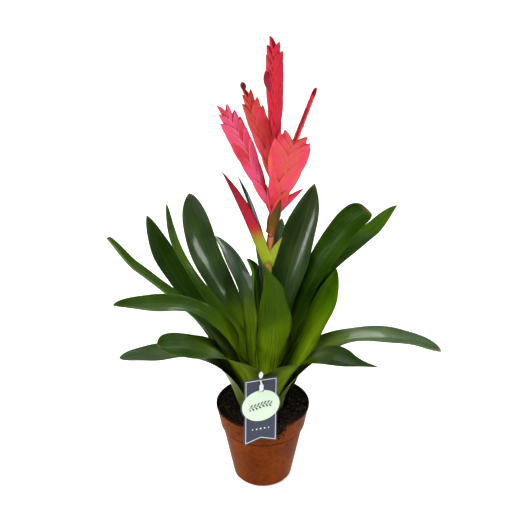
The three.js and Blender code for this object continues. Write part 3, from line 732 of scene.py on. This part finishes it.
def leaf_line(leaf, order):
    """The points, the direction, the ring's radius and the length of a leaf's middle line."""
    radius = FIRST_RADIUS + RADIUS_STEP * order
    share = min(max((radius - CROWN_TIP) / (CROWN_RADIUS - CROWN_TIP), 0), 1)
    seat = mix(CROWN_TOP, CROWN_EDGE, share) + SEAT_GAP
    away, reached = outward(leaf["azimuth"]), outward(leaf["azimuth"] + leaf["sway"])
    start = away * radius + Vector((0, 0, seat))
    tip = reached * leaf["reach"] + Vector((0, 0, leaf["height"]))
    chord = (tip - start).length
    lean = math.radians(leaf.get("lean", FIRST_LEAN + LEAN_STEP * order))
    droop = math.radians(leaf["droop"])
    first = away * math.sin(lean) + Vector((0, 0, math.cos(lean)))
    last = reached * math.cos(droop) + Vector((0, 0, math.sin(droop)))
    return dict(start=start, rise_to=start + first * leaf.get("rise", chord * USUAL_RISE),
                fall_from=tip - last * leaf.get("run", chord * USUAL_RUN), tip=tip, away=away,
                radius=radius, length=chord * ARCH)


def make_leaves():
    tree = leaf_tree()
    for order, leaf in enumerate(LEAVES):
        name = f"leaf_{order + 1:02d}"
        finish = leaf_finish(*(leaf[key] for key in ("tone", "haze", "gloss", "pale", "fresh")))
        angles = {key: math.radians(leaf[key]) for key in ("fold", "twist", "roll")}
        lengths = {key: float(leaf[key]) for key in ("width", "open")}
        rest = {key: leaf[key]
                for key in ("full", "clasp", "girth", "point", "curl", "bow", "hook")}
        piece = tree.grow(name + "_blade", finish, wave=LEAF_RIPPLE, phase=order * 1.7,
                          **leaf_line(leaf, order), **angles, **lengths, **rest)
        fit(piece, name)


# ---- flower stem and spikes --------------------------------------------------------------------
def bract_sheet(t, clasp, taper, hook, deep):
    """One bract of unit size as an open sheet: x outward, y across, z along it.

    Its two sides meet in a keel on the outside and clasp what is inside. deep gives how far
    they stand apart at a share of its length.
    """
    grid = t.node("GeometryNodeMeshGrid", {
        "Size X": 1.0, "Size Y": 2.0, "Vertices X": 15, "Vertices Y": 15})
    x, v, _ = t.separate(t.node("GeometryNodeInputPosition"))
    s = x + 0.5
    w = abs(v)
    grid = t.keep(t.keep(grid, "along", s), "across", v)
    end = 1 - hook
    keel = mix(clasp, 1.0, 1 - (1 - s) ** 2.0) - s * s * hook
    margin = mix(clasp * -1, end, s ** taper)
    out = keel - (keel - margin) * w ** 1.4
    share = (out + clasp) / (keel + clasp)
    side = t.most(0.0, 1 - share * share) ** 0.75 * deep(s) * t.maths("SIGN", v)
    where = t.combine(out, side, s)
    sheet = t.node("GeometryNodeSetPosition", {"Geometry": grid, "Position": where})
    return t.merged(sheet, 0.0005)


def planted(t, seats, sheet, along, out, size, thickness):
    """A sheet as a closed wall at each seat, turned to grow along a line."""
    turned_to = t.node("FunctionNodeAxesToRotation", {
        "Primary Axis": along, "Secondary Axis": out}, primary_axis="Z", secondary_axis="X")
    sheets = t.node("GeometryNodeInstanceOnPoints", {
        "Points": seats, "Instance": sheet, "Rotation": turned_to, "Scale": size})
    sheets = t.node("GeometryNodeRealizeInstances", {"Geometry": sheets})
    wall = t.node("GeometryNodeExtrudeMesh", {
        "Mesh": sheets, "Offset Scale": -thickness, "Individual": False})
    back = t.node("GeometryNodeFlipFaces", {"Mesh": sheets})
    return t.merged(t.joined(wall, back), 0.001)


def rod(t, curve, radius):
    """A round rod along a curve, closed at its ends."""
    ring = t.node("GeometryNodeCurvePrimitiveCircle", {"Resolution": 20, "Radius": 1.0})
    return t.node("GeometryNodeCurveToMesh", {
        "Curve": curve, "Profile Curve": ring, "Scale": radius, "Fill Caps": True})


def spike_tree():
    """A flat spike: two rows of folded bracts that overlap, one on either side of a thin stalk."""
    t = GeometryTree("spike")
    start, middle, end, out = t.given("start middle end out", "Vector")
    count, seed = t.given("bracts seed", "Int")
    width, length, tip_length, depth, narrow, late = t.given(
        "width length tip_length depth narrow late")
    line = t.node("GeometryNodeCurveQuadraticBezier", {
        "Resolution": 24, "Start": start, "Middle": middle, "End": end})
    index = t.node("GeometryNodeInputIndex")
    share = index / (count - 1)
    centre, along = t.along(line, mix(*SEATS, share ** CROWDING))
    flip = 1 - t.maths("MODULO", index, 2) * 2
    look = t.unit(out - along * t.dot(out, along)) * flip
    grown = mix(YOUNG, 1.0, t.smooth(share, 0.0, 0.35)) * t.chance(0.95, 0.99, seed)
    spread = width * 0.5 * grown * mix(1.0, narrow, t.smooth(share, late, 1.0))
    size = t.combine(spread, depth * mix(1.0, 0.7, share), mix(length, tip_length, share) * grown)
    seats = t.node("GeometryNodePoints", {"Count": count, "Position": centre})
    seats = t.keep(seats, "tone", t.chance(0.0, 1.0, seed + 5))
    sheet = bract_sheet(t, 0.2, 3.2, TUCK,
                        lambda s: mix(0.5, 1.0, t.smooth(s, 0.0, 0.5)) + s * 0.12)
    t.finish(t.joined(planted(t, seats, sheet, along, look, size, 0.5), rod(t, line, RACHIS)))
    return t


def make_spikes():
    tree = spike_tree()
    colours = {
        "spike_red": dict(
            body=(0.6, 0.014, 0.036), dark=(0.32, 0.006, 0.016), keel=(0.4, 0.03, 0.01),
            keel_share=0.14, blush=(0.52, 0.01, 0.045), inner=(0.36, 0.008, 0.012)),
        "spike_olive": dict(
            body=(0.62, 0.025, 0.04), dark=(0.42, 0.008, 0.02), keel=(0.42, 0.14, 0.02),
            keel_share=0.4, inner=(0.3, 0.11, 0.01)),
        "spike_pink": dict(
            body=(0.72, 0.075, 0.11), dark=(0.52, 0.02, 0.05), keel=(0.66, 0.13, 0.1),
            keel_share=0.35, rim=(0.78, 0.42, 0.45), blush=(0.68, 0.08, 0.2), rim_share=0.4),
        "spike_coral": dict(
            body=(0.68, 0.045, 0.065), dark=(0.5, 0.014, 0.034), keel=(0.62, 0.2, 0.03),
            keel_share=0.34, rim=(0.72, 0.3, 0.2), blush=(0.7, 0.06, 0.12),
            inner=(0.5, 0.15, 0.02)),
    }
    looks = {name: bract_finish(name, **values) for name, values in colours.items()}
    for order, spike in enumerate(SPIKES):
        name = f"spike_{order + 1}"
        start, end, out = Vector(spike["start"]), Vector(spike["end"]), outward(spike["face"])
        sizes = {key: float(spike[key]) for key in ("width", "length", "tip_length", "depth")}
        piece = tree.grow(
            name + "_bracts", looks[spike["look"]], start=start, end=end, out=out,
            middle=(start + end) / 2 + out * spike.get("bow", 0), bracts=spike["bracts"],
            seed=order, narrow=spike.get("narrow", 0.6), late=spike.get("late", 0.55), **sizes)
        fit(piece, name)


def bud():
    """A closed flower bud, with three blunt ridges, about its own +Z."""
    profile = [(0, -3), (2.2, -2.6), (3.2, -0.6), (3.3, 1.6), (2.6, 3.8), (1.4, 5.2), (0, 5.9)]
    mesh = turned(rounded(profile, 1.5), 24)
    for vertex in mesh.vertices:
        ridge = 1 + 0.09 * math.cos(3 * math.atan2(vertex.co.y, vertex.co.x))
        vertex.co.x *= ridge
        vertex.co.y *= ridge
    return mesh


def make_flowers():
    """The bud at the tip of the second spike, and the spent flower on the tallest."""
    tallest, second = SPIKES[:2]
    start, end = Vector(second["start"]), Vector(second["end"])
    along = (end - start).normalized()
    seat = start.lerp(end, SEATS[1]) + along * (second["tip_length"] * 0.93)
    seat = seat - square_to(along, outward(second["face"])) * (second["width"] * 0.12)
    mesh = bud()
    mesh.transform(Matrix.Translation(seat) @ along.to_track_quat("Z", "Y").to_matrix().to_4x4())
    finish = bract_finish("bud_crimson", (0.38, 0.004, 0.006), (0.12, 0.001, 0.002),
                          (0.36, 0.004, 0.005), 0.2, blush=(0.26, 0.003, 0.005))
    fit(closed_piece("flower_bud", mesh, finish), "spike_2")

    start, end = Vector(tallest["start"]), Vector(tallest["end"])
    along = (end - start).normalized()
    finish = bract_finish("spent_flower", (0.5, 0.014, 0.05), (0.2, 0.006, 0.02),
                          (0.4, 0.02, 0.03), 0.2)
    piece = single_bract_tree().grow(
        "spent_flower", finish, seat=start.lerp(end, FLOWER_SEAT), along=along,
        out=square_to(along, Vector((-1, 0, 0))), size=Vector(FLOWER_SIZE), clasp=0.11,
        neck=0.62, broad=0.3, taper=3.2, hook=0.42)
    fit(piece, "spike_1")


def single_bract_tree():
    """One folded bract where it grows."""
    t = GeometryTree("single_bract")
    seat, along, out, size = t.given("seat along out size", "Vector")
    clasp, neck, broad, taper, hook = t.given("clasp neck broad taper hook")
    point = t.node("GeometryNodePoints", {"Count": 1, "Position": seat})
    sheet = bract_sheet(t, clasp, taper, hook,
                        lambda s: mix(neck, 1.0, t.smooth(s, 0.0, broad)) * (1 - s) ** 0.6)
    t.finish(planted(t, point, sheet, along, out, size, 0.6))
    return t


def stem_tree():
    """A round stem, with a slight swelling where each bract sits."""
    t = GeometryTree("stem")
    foot, top = t.given("foot top")
    share = t.node("GeometryNodeSplineParameter")
    swelling = 0.0
    for swollen in t.given("node_1 node_2 node_3"):
        near = abs(share - swollen)
        swelling = swelling + (1 - t.smooth(near, 0.0, 0.012)) * 0.55
    t.finish(rod(t, t.base, mix(foot, top, share) + swelling))
    return t


def through(points, share):
    """A point on the smooth line through some points, and the line's direction there."""
    spans = len(points) - 1
    place_on = min(share * spans, spans - 1e-6)
    i = int(place_on)
    s = place_on - i
    b, c = points[i], points[i + 1]
    a = points[i - 1] if i else b * 2 - c
    d = points[i + 2] if i + 2 <= spans else c * 2 - b
    first, second, third = c - a, a * 2 - b * 5 + c * 4 - d, b * 3 - a - c * 3 + d
    point = (b * 2 + first * s + second * s**2 + third * s**3) / 2
    slope = (first + second * (2 * s) + third * (3 * s**2)) / 2
    return point, slope.normalized()


def evenly(points, count, fine=400):
    """Points at even distances on the smooth line through some points, with directions."""
    line = [through(points, i / fine) for i in range(fine + 1)]
    run = [0.0]
    for (a, _), (b, _) in zip(line, line[1:]):
        run.append(run[-1] + (b - a).length)
    goals = [run[-1] * k / (count - 1) for k in range(count)]
    return [line[min(range(fine + 1), key=lambda m: abs(run[m] - goal))] for goal in goals]


def curve_of(name, lines, dimensions, cyclic=False):
    """A curve that runs straight from point to point of each line."""
    curve = bpy.data.curves.new(name, "CURVE")
    curve.dimensions = dimensions
    for line in lines:
        spline = curve.splines.new("POLY")
        spline.points.add(len(line) - 1)
        spline.use_cyclic_u = cyclic
        for point, where in zip(spline.points, line):
            point.co = (*where, 1)
    return curve


def make_stem():
    steps = 80
    line = evenly([Vector(point) for point in STEM_PATH], steps + 1)
    curve = curve_of("stem_line", [[where for where, _ in line]], "3D")
    foot, top = map(float, STEM_RADII)
    nodes = {f"node_{k + 1}": share for k, share in enumerate(STEM_NODES)}
    stem = stem_tree().grow("flower_stem_rod", stem_finish(), curve, foot=foot, top=top, **nodes)
    fit(stem, "flower_stem")
    tree = single_bract_tree()
    for order, bract in enumerate(SCAPE_BRACTS):
        seat, along = line[round(bract["at"] * steps)]
        out = square_to(along, outward(bract["face"]))
        lean = Matrix.Rotation(math.radians(bract["lean"]), 3, along.cross(out))
        spread, look = bract["spread"], bract["look"]
        piece = tree.grow(
            f"scape_bract_{order + 1}", scape_finish(look, SCAPE_STOPS[look]), seat=seat,
            along=lean @ along, out=lean @ out,
            size=Vector((spread, bract["depth"], bract["length"])),
            clasp=bract["clasp"] / spread, neck=bract.get("neck", 0.62),
            broad=bract.get("broad", 0.3), taper=bract["taper"],
            hook=-bract.get("hook", 0) / spread)
        fit(piece, "flower_stem")


# ---- pot, compost and crown ---------------------------------------------------------------------
def rounded(profile, radius):
    """The corners of a [radius, height] profile, each cut by an arc of four points."""
    points = []
    for before, corner, after in zip(profile, profile[1:], profile[2:]):
        a, b, c = Vector(before), Vector(corner), Vector(after)
        reach = min(radius, (a - b).length * 0.45, (c - b).length * 0.45)
        first, last = b + (a - b).normalized() * reach, b + (c - b).normalized() * reach
        for k in range(4):
            s = k / 3
            points.append(first.lerp(b, s).lerp(b.lerp(last, s), s))
    return [Vector(profile[0]), *points, Vector(profile[-1])]


def round_at(radius, angle, height):
    return (radius * math.cos(angle), radius * math.sin(angle), height)


def turned(profile, sides):
    """A closed mesh that is turned about +Z from a profile that starts and ends on the axis."""
    points, faces, rings = [], [], []
    for radius, height in profile:
        if radius < 1e-6:
            rings.append([len(points)] * sides)
            points.append((0, 0, height))
            continue
        rings.append(list(range(len(points), len(points) + sides)))
        points += [round_at(radius, TAU * k / sides, height) for k in range(sides)]
    for low, high in zip(rings, rings[1:]):
        for k in range(sides):
            face = [low[k], low[(k + 1) % sides], high[(k + 1) % sides], high[k]]
            faces.append(list(dict.fromkeys(face)))
    return mesh_of("turned", points, faces)


def quads(rows, width, closed=False):
    """The faces between rows of points, each row's end joined to its start where closed."""
    return [(i * width + j, i * width + (j + 1) % width,
             (i + 1) * width + (j + 1) % width, (i + 1) * width + j)
            for i in range(rows) for j in range(width if closed else width - 1)]


def wall_at(height):
    """The outside of the pot's wall at a height."""
    return mix(FOOT_RADIUS, WALL_RADIUS, height / SHOULDER)


def make_pot():
    """The hollow pot, turned from its section, with its drain holes."""
    collar, rim, top = WALL_RADIUS + COLLAR_STEP, RIM_RADIUS, POT_HEIGHT
    outside = [
        (0, 0.9), (FOOT_RADIUS - 9, 0.9), (FOOT_RADIUS - 8, 0), (FOOT_RADIUS - 2.4, 0),
        (wall_at(4), 4), (WALL_RADIUS, SHOULDER), (collar, SHOULDER + 0.8), (rim - 1.5, top - 5),
        (rim - 0.7, top - 4), (rim - 0.3, top),
    ]
    inside = [
        (rim - POT_WALL - 0.6, top), (rim - POT_WALL - 1, top - 4),
        (collar - POT_WALL, SHOULDER + 2.4), (WALL_RADIUS - POT_WALL, SHOULDER),
        (wall_at(3) - POT_WALL, 3), (wall_at(POT_WALL) - POT_WALL - 2, POT_WALL + 0.8),
        (0, POT_WALL + 0.8),
    ]
    pot = place("pot_shell", turned(rounded(outside + inside, 0.7), 144))
    drills = bmesh.new()
    for k in range(DRAINS):
        where = Matrix.Translation(outward(360 * k / DRAINS) * DRAIN_CIRCLE)
        bmesh.ops.create_cone(drills, cap_ends=True, segments=24, radius1=DRAIN_RADIUS,
                              radius2=DRAIN_RADIUS, depth=12, matrix=where)
    drill_mesh = bpy.data.meshes.new("drills")
    drills.to_mesh(drill_mesh)
    drills.free()
    cutter = place("drills", drill_mesh)
    cut = pot.modifiers.new("cut", "BOOLEAN")
    cut.object = cutter
    cut.operation = "DIFFERENCE"
    mesh = settled(pot)
    pot.modifiers.remove(cut)
    bpy.data.objects.remove(cutter)
    pot.data = finished(mesh, pot_finish())
    fit(pot, "pot")


def crumb_tree():
    """Loose crumbs that lie on a surface, of two sizes, each turned at random."""
    t = GeometryTree("crumbs")
    density, low, high, stretch = t.given("density low high stretch")
    [seed] = t.given("seed", "Int")
    ground = t.node("GeometryNodeDistributePointsOnFaces", {
        "Mesh": t.base, "Density": density, "Seed": seed}, distribute_method="RANDOM")
    lump = t.node("GeometryNodeMeshIcoSphere", {"Radius": 1.0, "Subdivisions": 1})
    rough = t.node("ShaderNodeTexNoise", {"Scale": 1.3, "Detail": 1.0})
    offset = t.node("GeometryNodeInputPosition") * ((rough - 0.5) * 1.3)
    lump = t.node("GeometryNodeSetPosition", {"Geometry": lump, "Offset": offset})
    spin = t.node("FunctionNodeRandomValue", {
        "Min": (0.0, 0.0, 0.0), "Max": (TAU, TAU, TAU), "Seed": seed + 3},
        data_type="FLOAT_VECTOR")
    size = t.chance(0.0, 1.0, seed + 7) ** 3.0 * (high - low) + low
    flat = t.combine(size * stretch, size * t.chance(0.6, 1.0, seed + 8),
                     size * t.chance(0.4, 0.9, seed + 9))
    t.finish(t.node("GeometryNodeInstanceOnPoints", {
        "Points": ground, "Instance": lump, "Rotation": spin, "Scale": flat}))
    return t


def compost_height(x, y):
    """The surface of the compost: a low mound with clods of two sizes."""
    r = math.hypot(x, y)
    share = min(max((r - SOIL_HOLE) / (RIM_RADIUS - SOIL_HOLE), 0), 1)
    spot = Vector((x, y, 0))
    clods = noise.noise(spot * 0.11) * 2.2 + noise.noise(spot * 0.35) * 1.1
    return SOIL_TOP + SOIL_MOUND * (1 - share) ** 2 - 1.2 + clods * min(1, (r - SOIL_HOLE) / 5)


def outer_radius(height):
    """The pot's outside at a height, its collar included."""
    if height < SHOULDER:
        return wall_at(height)
    return mix(WALL_RADIUS + COLLAR_STEP, RIM_RADIUS - 0.4, (height - SHOULDER) / COLLAR_HEIGHT)


def patch_outside(azimuth, spread, low, high, rows=8, across=6):
    """A patch of the pot's outside, wide at its top and narrow at its foot."""
    points = []
    for i in range(rows + 1):
        height, reach = mix(low, high, i / rows), 0.2 + 0.8 * (i / rows) ** 2
        for j in range(across + 1):
            angle = math.radians(azimuth + spread * (2 * j / across - 1) * reach)
            points.append(round_at(outer_radius(height) + 0.2, angle, height))
    return mesh_of("patch", points, quads(rows, across + 1))


def patch_on_rim(azimuth, spread, across=6):
    """A patch that lies over the rim."""
    section = [(RIM_RADIUS - 6, POT_HEIGHT - 2), (RIM_RADIUS - 2, POT_HEIGHT + 0.2),
               (RIM_RADIUS, POT_HEIGHT + 0.1), (RIM_RADIUS, POT_HEIGHT - 3)]
    angles = [math.radians(azimuth + spread * (2 * j / across - 1)) for j in range(across + 1)]
    points = [round_at(radius, angle, height) for radius, height in section for angle in angles]
    return mesh_of("rim_patch", points, quads(len(section) - 1, across + 1))


def make_compost():
    """The compost with its hole for the crown, and the crumbs and fibres on it and on the pot."""
    clear = POT_WALL + SEAT_GAP + 0.25
    rings = 26
    surface = [(mix(SOIL_HOLE, RIM_RADIUS - 2.4, k / rings), SOIL_TOP) for k in range(rings + 1)]
    profile = [
        (0, HOLE_FLOOR), (SOIL_HOLE, HOLE_FLOOR), *surface,
        (WALL_RADIUS + COLLAR_STEP - clear, SHOULDER + 4), (WALL_RADIUS - clear, SHOULDER + 1),
        (wall_at(8) - clear, 8), (wall_at(5) - clear - 3, SOIL_FOOT), (0, SOIL_FOOT),
    ]
    mesh = turned(profile, 120)
    for vertex in mesh.vertices:
        if abs(vertex.co.z - SOIL_TOP) < 1e-3:
            vertex.co.z = compost_height(vertex.co.x, vertex.co.y)
    top = bmesh.new()
    top.from_mesh(mesh)
    rest = [face for face in top.faces
            if face.calc_center_median().z < SOIL_TOP - 5
            or math.hypot(*face.calc_center_median()[:2]) < SOIL_HOLE + 1]
    bmesh.ops.delete(top, geom=rest, context="FACES")
    ground = bpy.data.meshes.new("ground")
    top.to_mesh(ground)
    top.free()
    peat = compost_finish()
    fit(closed_piece("compost_body", mesh, peat), "compost")

    rim = patch_on_rim(SPILL_AZIMUTH, 7)
    collar = patch_outside(SPILL_AZIMUTH - 2, 6.5, 87, 108)
    # the density, the least and the greatest size, the stretch and the seed of each scatter
    scatters = [
        ("compost_crumbs", peat, ground, 0.3, 0.5, 3.2, 1.0, 4),
        ("compost_fibres", fibre_finish(), ground, 0.045, 0.2, 0.6, 9.0, 40),
        ("spill_rim", peat, rim, 3.2, 0.3, 1.4, 1.0, 20),
        ("spill_collar", peat, collar, 0.8, 0.3, 1.2, 1.0, 21),
        ("spill_wall", peat, patch_outside(277, 3, 50, 54), 0.5, 0.3, 0.8, 1.0, 22),
        ("spill_wall_right", peat, patch_outside(296, 2, 47, 50), 0.3, 0.3, 0.7, 1.0, 23),
    ]
    tree = crumb_tree()
    for name, finish, base, density, low, high, stretch, seed in scatters:
        piece = tree.grow(name, finish, base, density=density, low=low, high=high,
                          stretch=stretch, seed=seed)
        fit(piece, "compost")


# ---- care card and its stake --------------------------------------------------------------------
def on_card():
    """From card coordinates, x across, y up and z toward the viewer, to the pot's."""
    placed = Matrix.Translation(CARD_FOOT)
    for angle, axis in ((CARD_YAW, "Z"), (-CARD_LEAN, "X"), (90, "X"), (-CARD_ROLL, "Z")):
        placed = placed @ Matrix.Rotation(math.radians(angle), 4, axis)
    return placed


def card_outline():
    side = CARD_WIDTH / 2
    across, tall = OVAL_RADII
    meet = math.atan2(math.sqrt(1 - (side / across) ** 2), side / across)
    arc = [(across * math.cos(a), OVAL_HEIGHT + tall * math.sin(a))
           for a in (mix(-meet, meet, k / 24) for k in range(25))]
    right = [(side, 0), *arc, (side, CARD_HEIGHT)]
    return [(0, CARD_NOTCH), *right, *[(-x, y) for x, y in reversed(right)]]


def make_card():
    """The die cut card, with its two slots."""
    half, tall = SLOT_WIDTH / 2, SLOT_HEIGHT / 2
    slots = [[(-half, y - tall), (-half, y + tall), (half, y + tall), (half, y - tall)]
             for y in SLOTS]
    outlines = [[(x, y, 0) for x, y in outline] for outline in (card_outline(), *slots)]
    curve = curve_of("card", outlines, "2D", cyclic=True)
    curve.fill_mode = "BOTH"
    bevel = 0.12
    curve.extrude = CARD_THICKNESS / 2 - bevel
    curve.bevel_depth = bevel
    curve.bevel_resolution = 2
    curve.offset = -bevel
    holder = place("card_holder", curve)
    mesh = settled(holder, 1e-3)
    bpy.data.objects.remove(holder)
    spots = mesh.attributes.new("print", "FLOAT_VECTOR", "POINT")
    for value, vertex in zip(spots.data, mesh.vertices):
        value.vector = vertex.co
    mesh.transform(on_card())
    card = place("care_card_print", finished(mesh, card_finish()))
    card.data.set_sharp_from_angle(angle=math.radians(30))
    fit(card, "care_card")


def make_stake():
    """A flat strip: behind the card, in front of it between the slots, behind it again."""
    low, high = SLOTS
    wide, neck, top = STAKE_HALF, STAKE_NECK, CARD_HEIGHT + STAKE_HEAD
    clear = CARD_THICKNESS / 2 + STAKE_THICKNESS / 2 + SEAT_GAP
    line = [  # height on the card, depth toward the viewer and half width
        (*STAKE_FOOT, wide), (low - 12, -clear - 5, wide), (low - 3, -clear, wide),
        (low - 1.4, -clear, wide), (low + 1.4, clear, wide), (low + 4, clear + 0.15, wide),
        (high - 4, clear + 0.15, wide), (high - 1.4, clear, 1.3), (high + 1.4, -clear, neck),
        (high + 4, -clear, neck), (CARD_HEIGHT + 3.2, -clear + 0.6, wide),
        (CARD_HEIGHT + 6, -clear + 1, 2.4), (top - 0.6, -clear + 1.4, 1.1),
        (top, -clear + 1.5, 0.3),
    ]
    path = [Vector((width, y, z)) for y, z, width in line]
    edge, half, steps = STAKE_EDGE, STAKE_THICKNESS / 2, 104
    points = []
    for k in range(steps + 1):
        (width, y, z), slope = through(path, k / steps)
        up = Vector((0, slope.y, slope.z)).normalized()
        front = Vector((0, -up.z, up.y))
        section = [(-width, edge - half), (-width, half - edge), (-width + edge, half),
                   (width - edge, half), (width, half - edge), (width, edge - half),
                   (width - edge, -half), (-width + edge, -half)]
        points += [Vector((x, y, z)) + front * depth for x, depth in section]
    faces = quads(steps, 8, closed=True)
    faces += [tuple(range(8)), tuple(range(len(points) - 8, len(points)))]
    mesh = mesh_of("stake", points, faces)
    mesh.transform(on_card())
    stake = closed_piece("card_stake_strip", mesh, stake_finish())
    stake.data.set_sharp_from_angle(angle=math.radians(40))
    fit(stake, "card_stake")


# ---- light, floor and camera -----------------------------------------------------------------
def lamp(name, kind, where, power, **size):
    """A light that faces the middle of the plant."""
    light = bpy.data.lights.new(name, kind)
    light.energy = power
    for key, value in size.items():
        setattr(light, key, value)
    holder = bpy.data.objects.new(name, light)
    holder.location = where
    aim = Vector((0, 0, 0.28)) - Vector(where)
    holder.rotation_euler = aim.to_track_quat("-Z", "Y").to_euler()
    bpy.context.scene.collection.objects.link(holder)


def make_studio():
    """A plain pale floor, a backdrop that only the camera sees, soft lights and the camera."""
    scene = bpy.context.scene
    scene.world = bpy.data.worlds.new("studio")
    scene.world.use_nodes = True
    background = scene.world.node_tree.nodes["Background"]
    background.inputs["Color"].default_value = (0.95, 0.98, 1, 1)
    background.inputs["Strength"].default_value = 0.16
    lamp("overhead", "SUN", (-0.35, -0.75, 1.6), 1.9, angle=math.radians(40))
    lamp("behind", "SUN", (0.5, 0.9, 1.3), 0.7, angle=math.radians(50))
    lamp("left_box", "AREA", (-1.7, -0.1, 1.25), 16, size=0.7)
    lamp("right_box", "AREA", (1.7, -0.3, 1.1), 12, size=0.6)
    lamp("back_box", "AREA", (0.3, 2.0, 1.5), 14, size=0.9)

    half = 12
    corners = [(-half, -half, 0), (half, -half, 0), (half, half, 0), (-half, half, 0)]
    floor = place("floor", mesh_of("floor", corners, [(0, 1, 2, 3)]))
    f = Finish("floor_paper", roughness=0.9, emission_color=(1, 1, 1), emission_strength=0.3)
    tone = f.grain(f.spot(), 3.0, 2.0)
    f.set(base_color=f.blend((0.94, 0.94, 0.94), (0.96, 0.96, 0.96), tone))
    floor.data.materials.append(f.made)

    radius = 9
    arc = [(radius * math.cos(a), radius * math.sin(a))
           for a in (math.radians(6 * k) for k in range(16))]
    dome = turned([(radius, -0.5), *arc], 96)
    dome.flip_normals()
    backdrop = place("backdrop", dome)
    f = Finish("backdrop_paper", base_color=(0.9, 0.9, 0.9), emission_color=(1, 1, 1),
               emission_strength=1.0)
    dome.materials.append(f.made)
    backdrop.visible_diffuse = False
    backdrop.visible_glossy = False
    backdrop.visible_shadow = False

    lens = bpy.data.cameras.new("camera")
    lens.sensor_width = SENSOR
    lens.lens = FOCAL_LENGTH / PHOTO_SIDE * SENSOR
    camera = bpy.data.objects.new("camera", lens)
    camera.location = CAMERA_PLACE
    camera.rotation_euler = (math.radians(90 - CAMERA_TILT), 0, 0)
    scene.collection.objects.link(camera)
    scene.camera = camera
    scene.view_settings.view_transform = "Standard"
    scene.view_settings.look = "Medium High Contrast"


make_studio()
make_pot()
make_compost()
make_leaves()
make_stem()
make_spikes()
make_flowers()
make_card()
make_stake()
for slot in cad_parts["crown"].material_slots:
    slot.material = crown_finish()
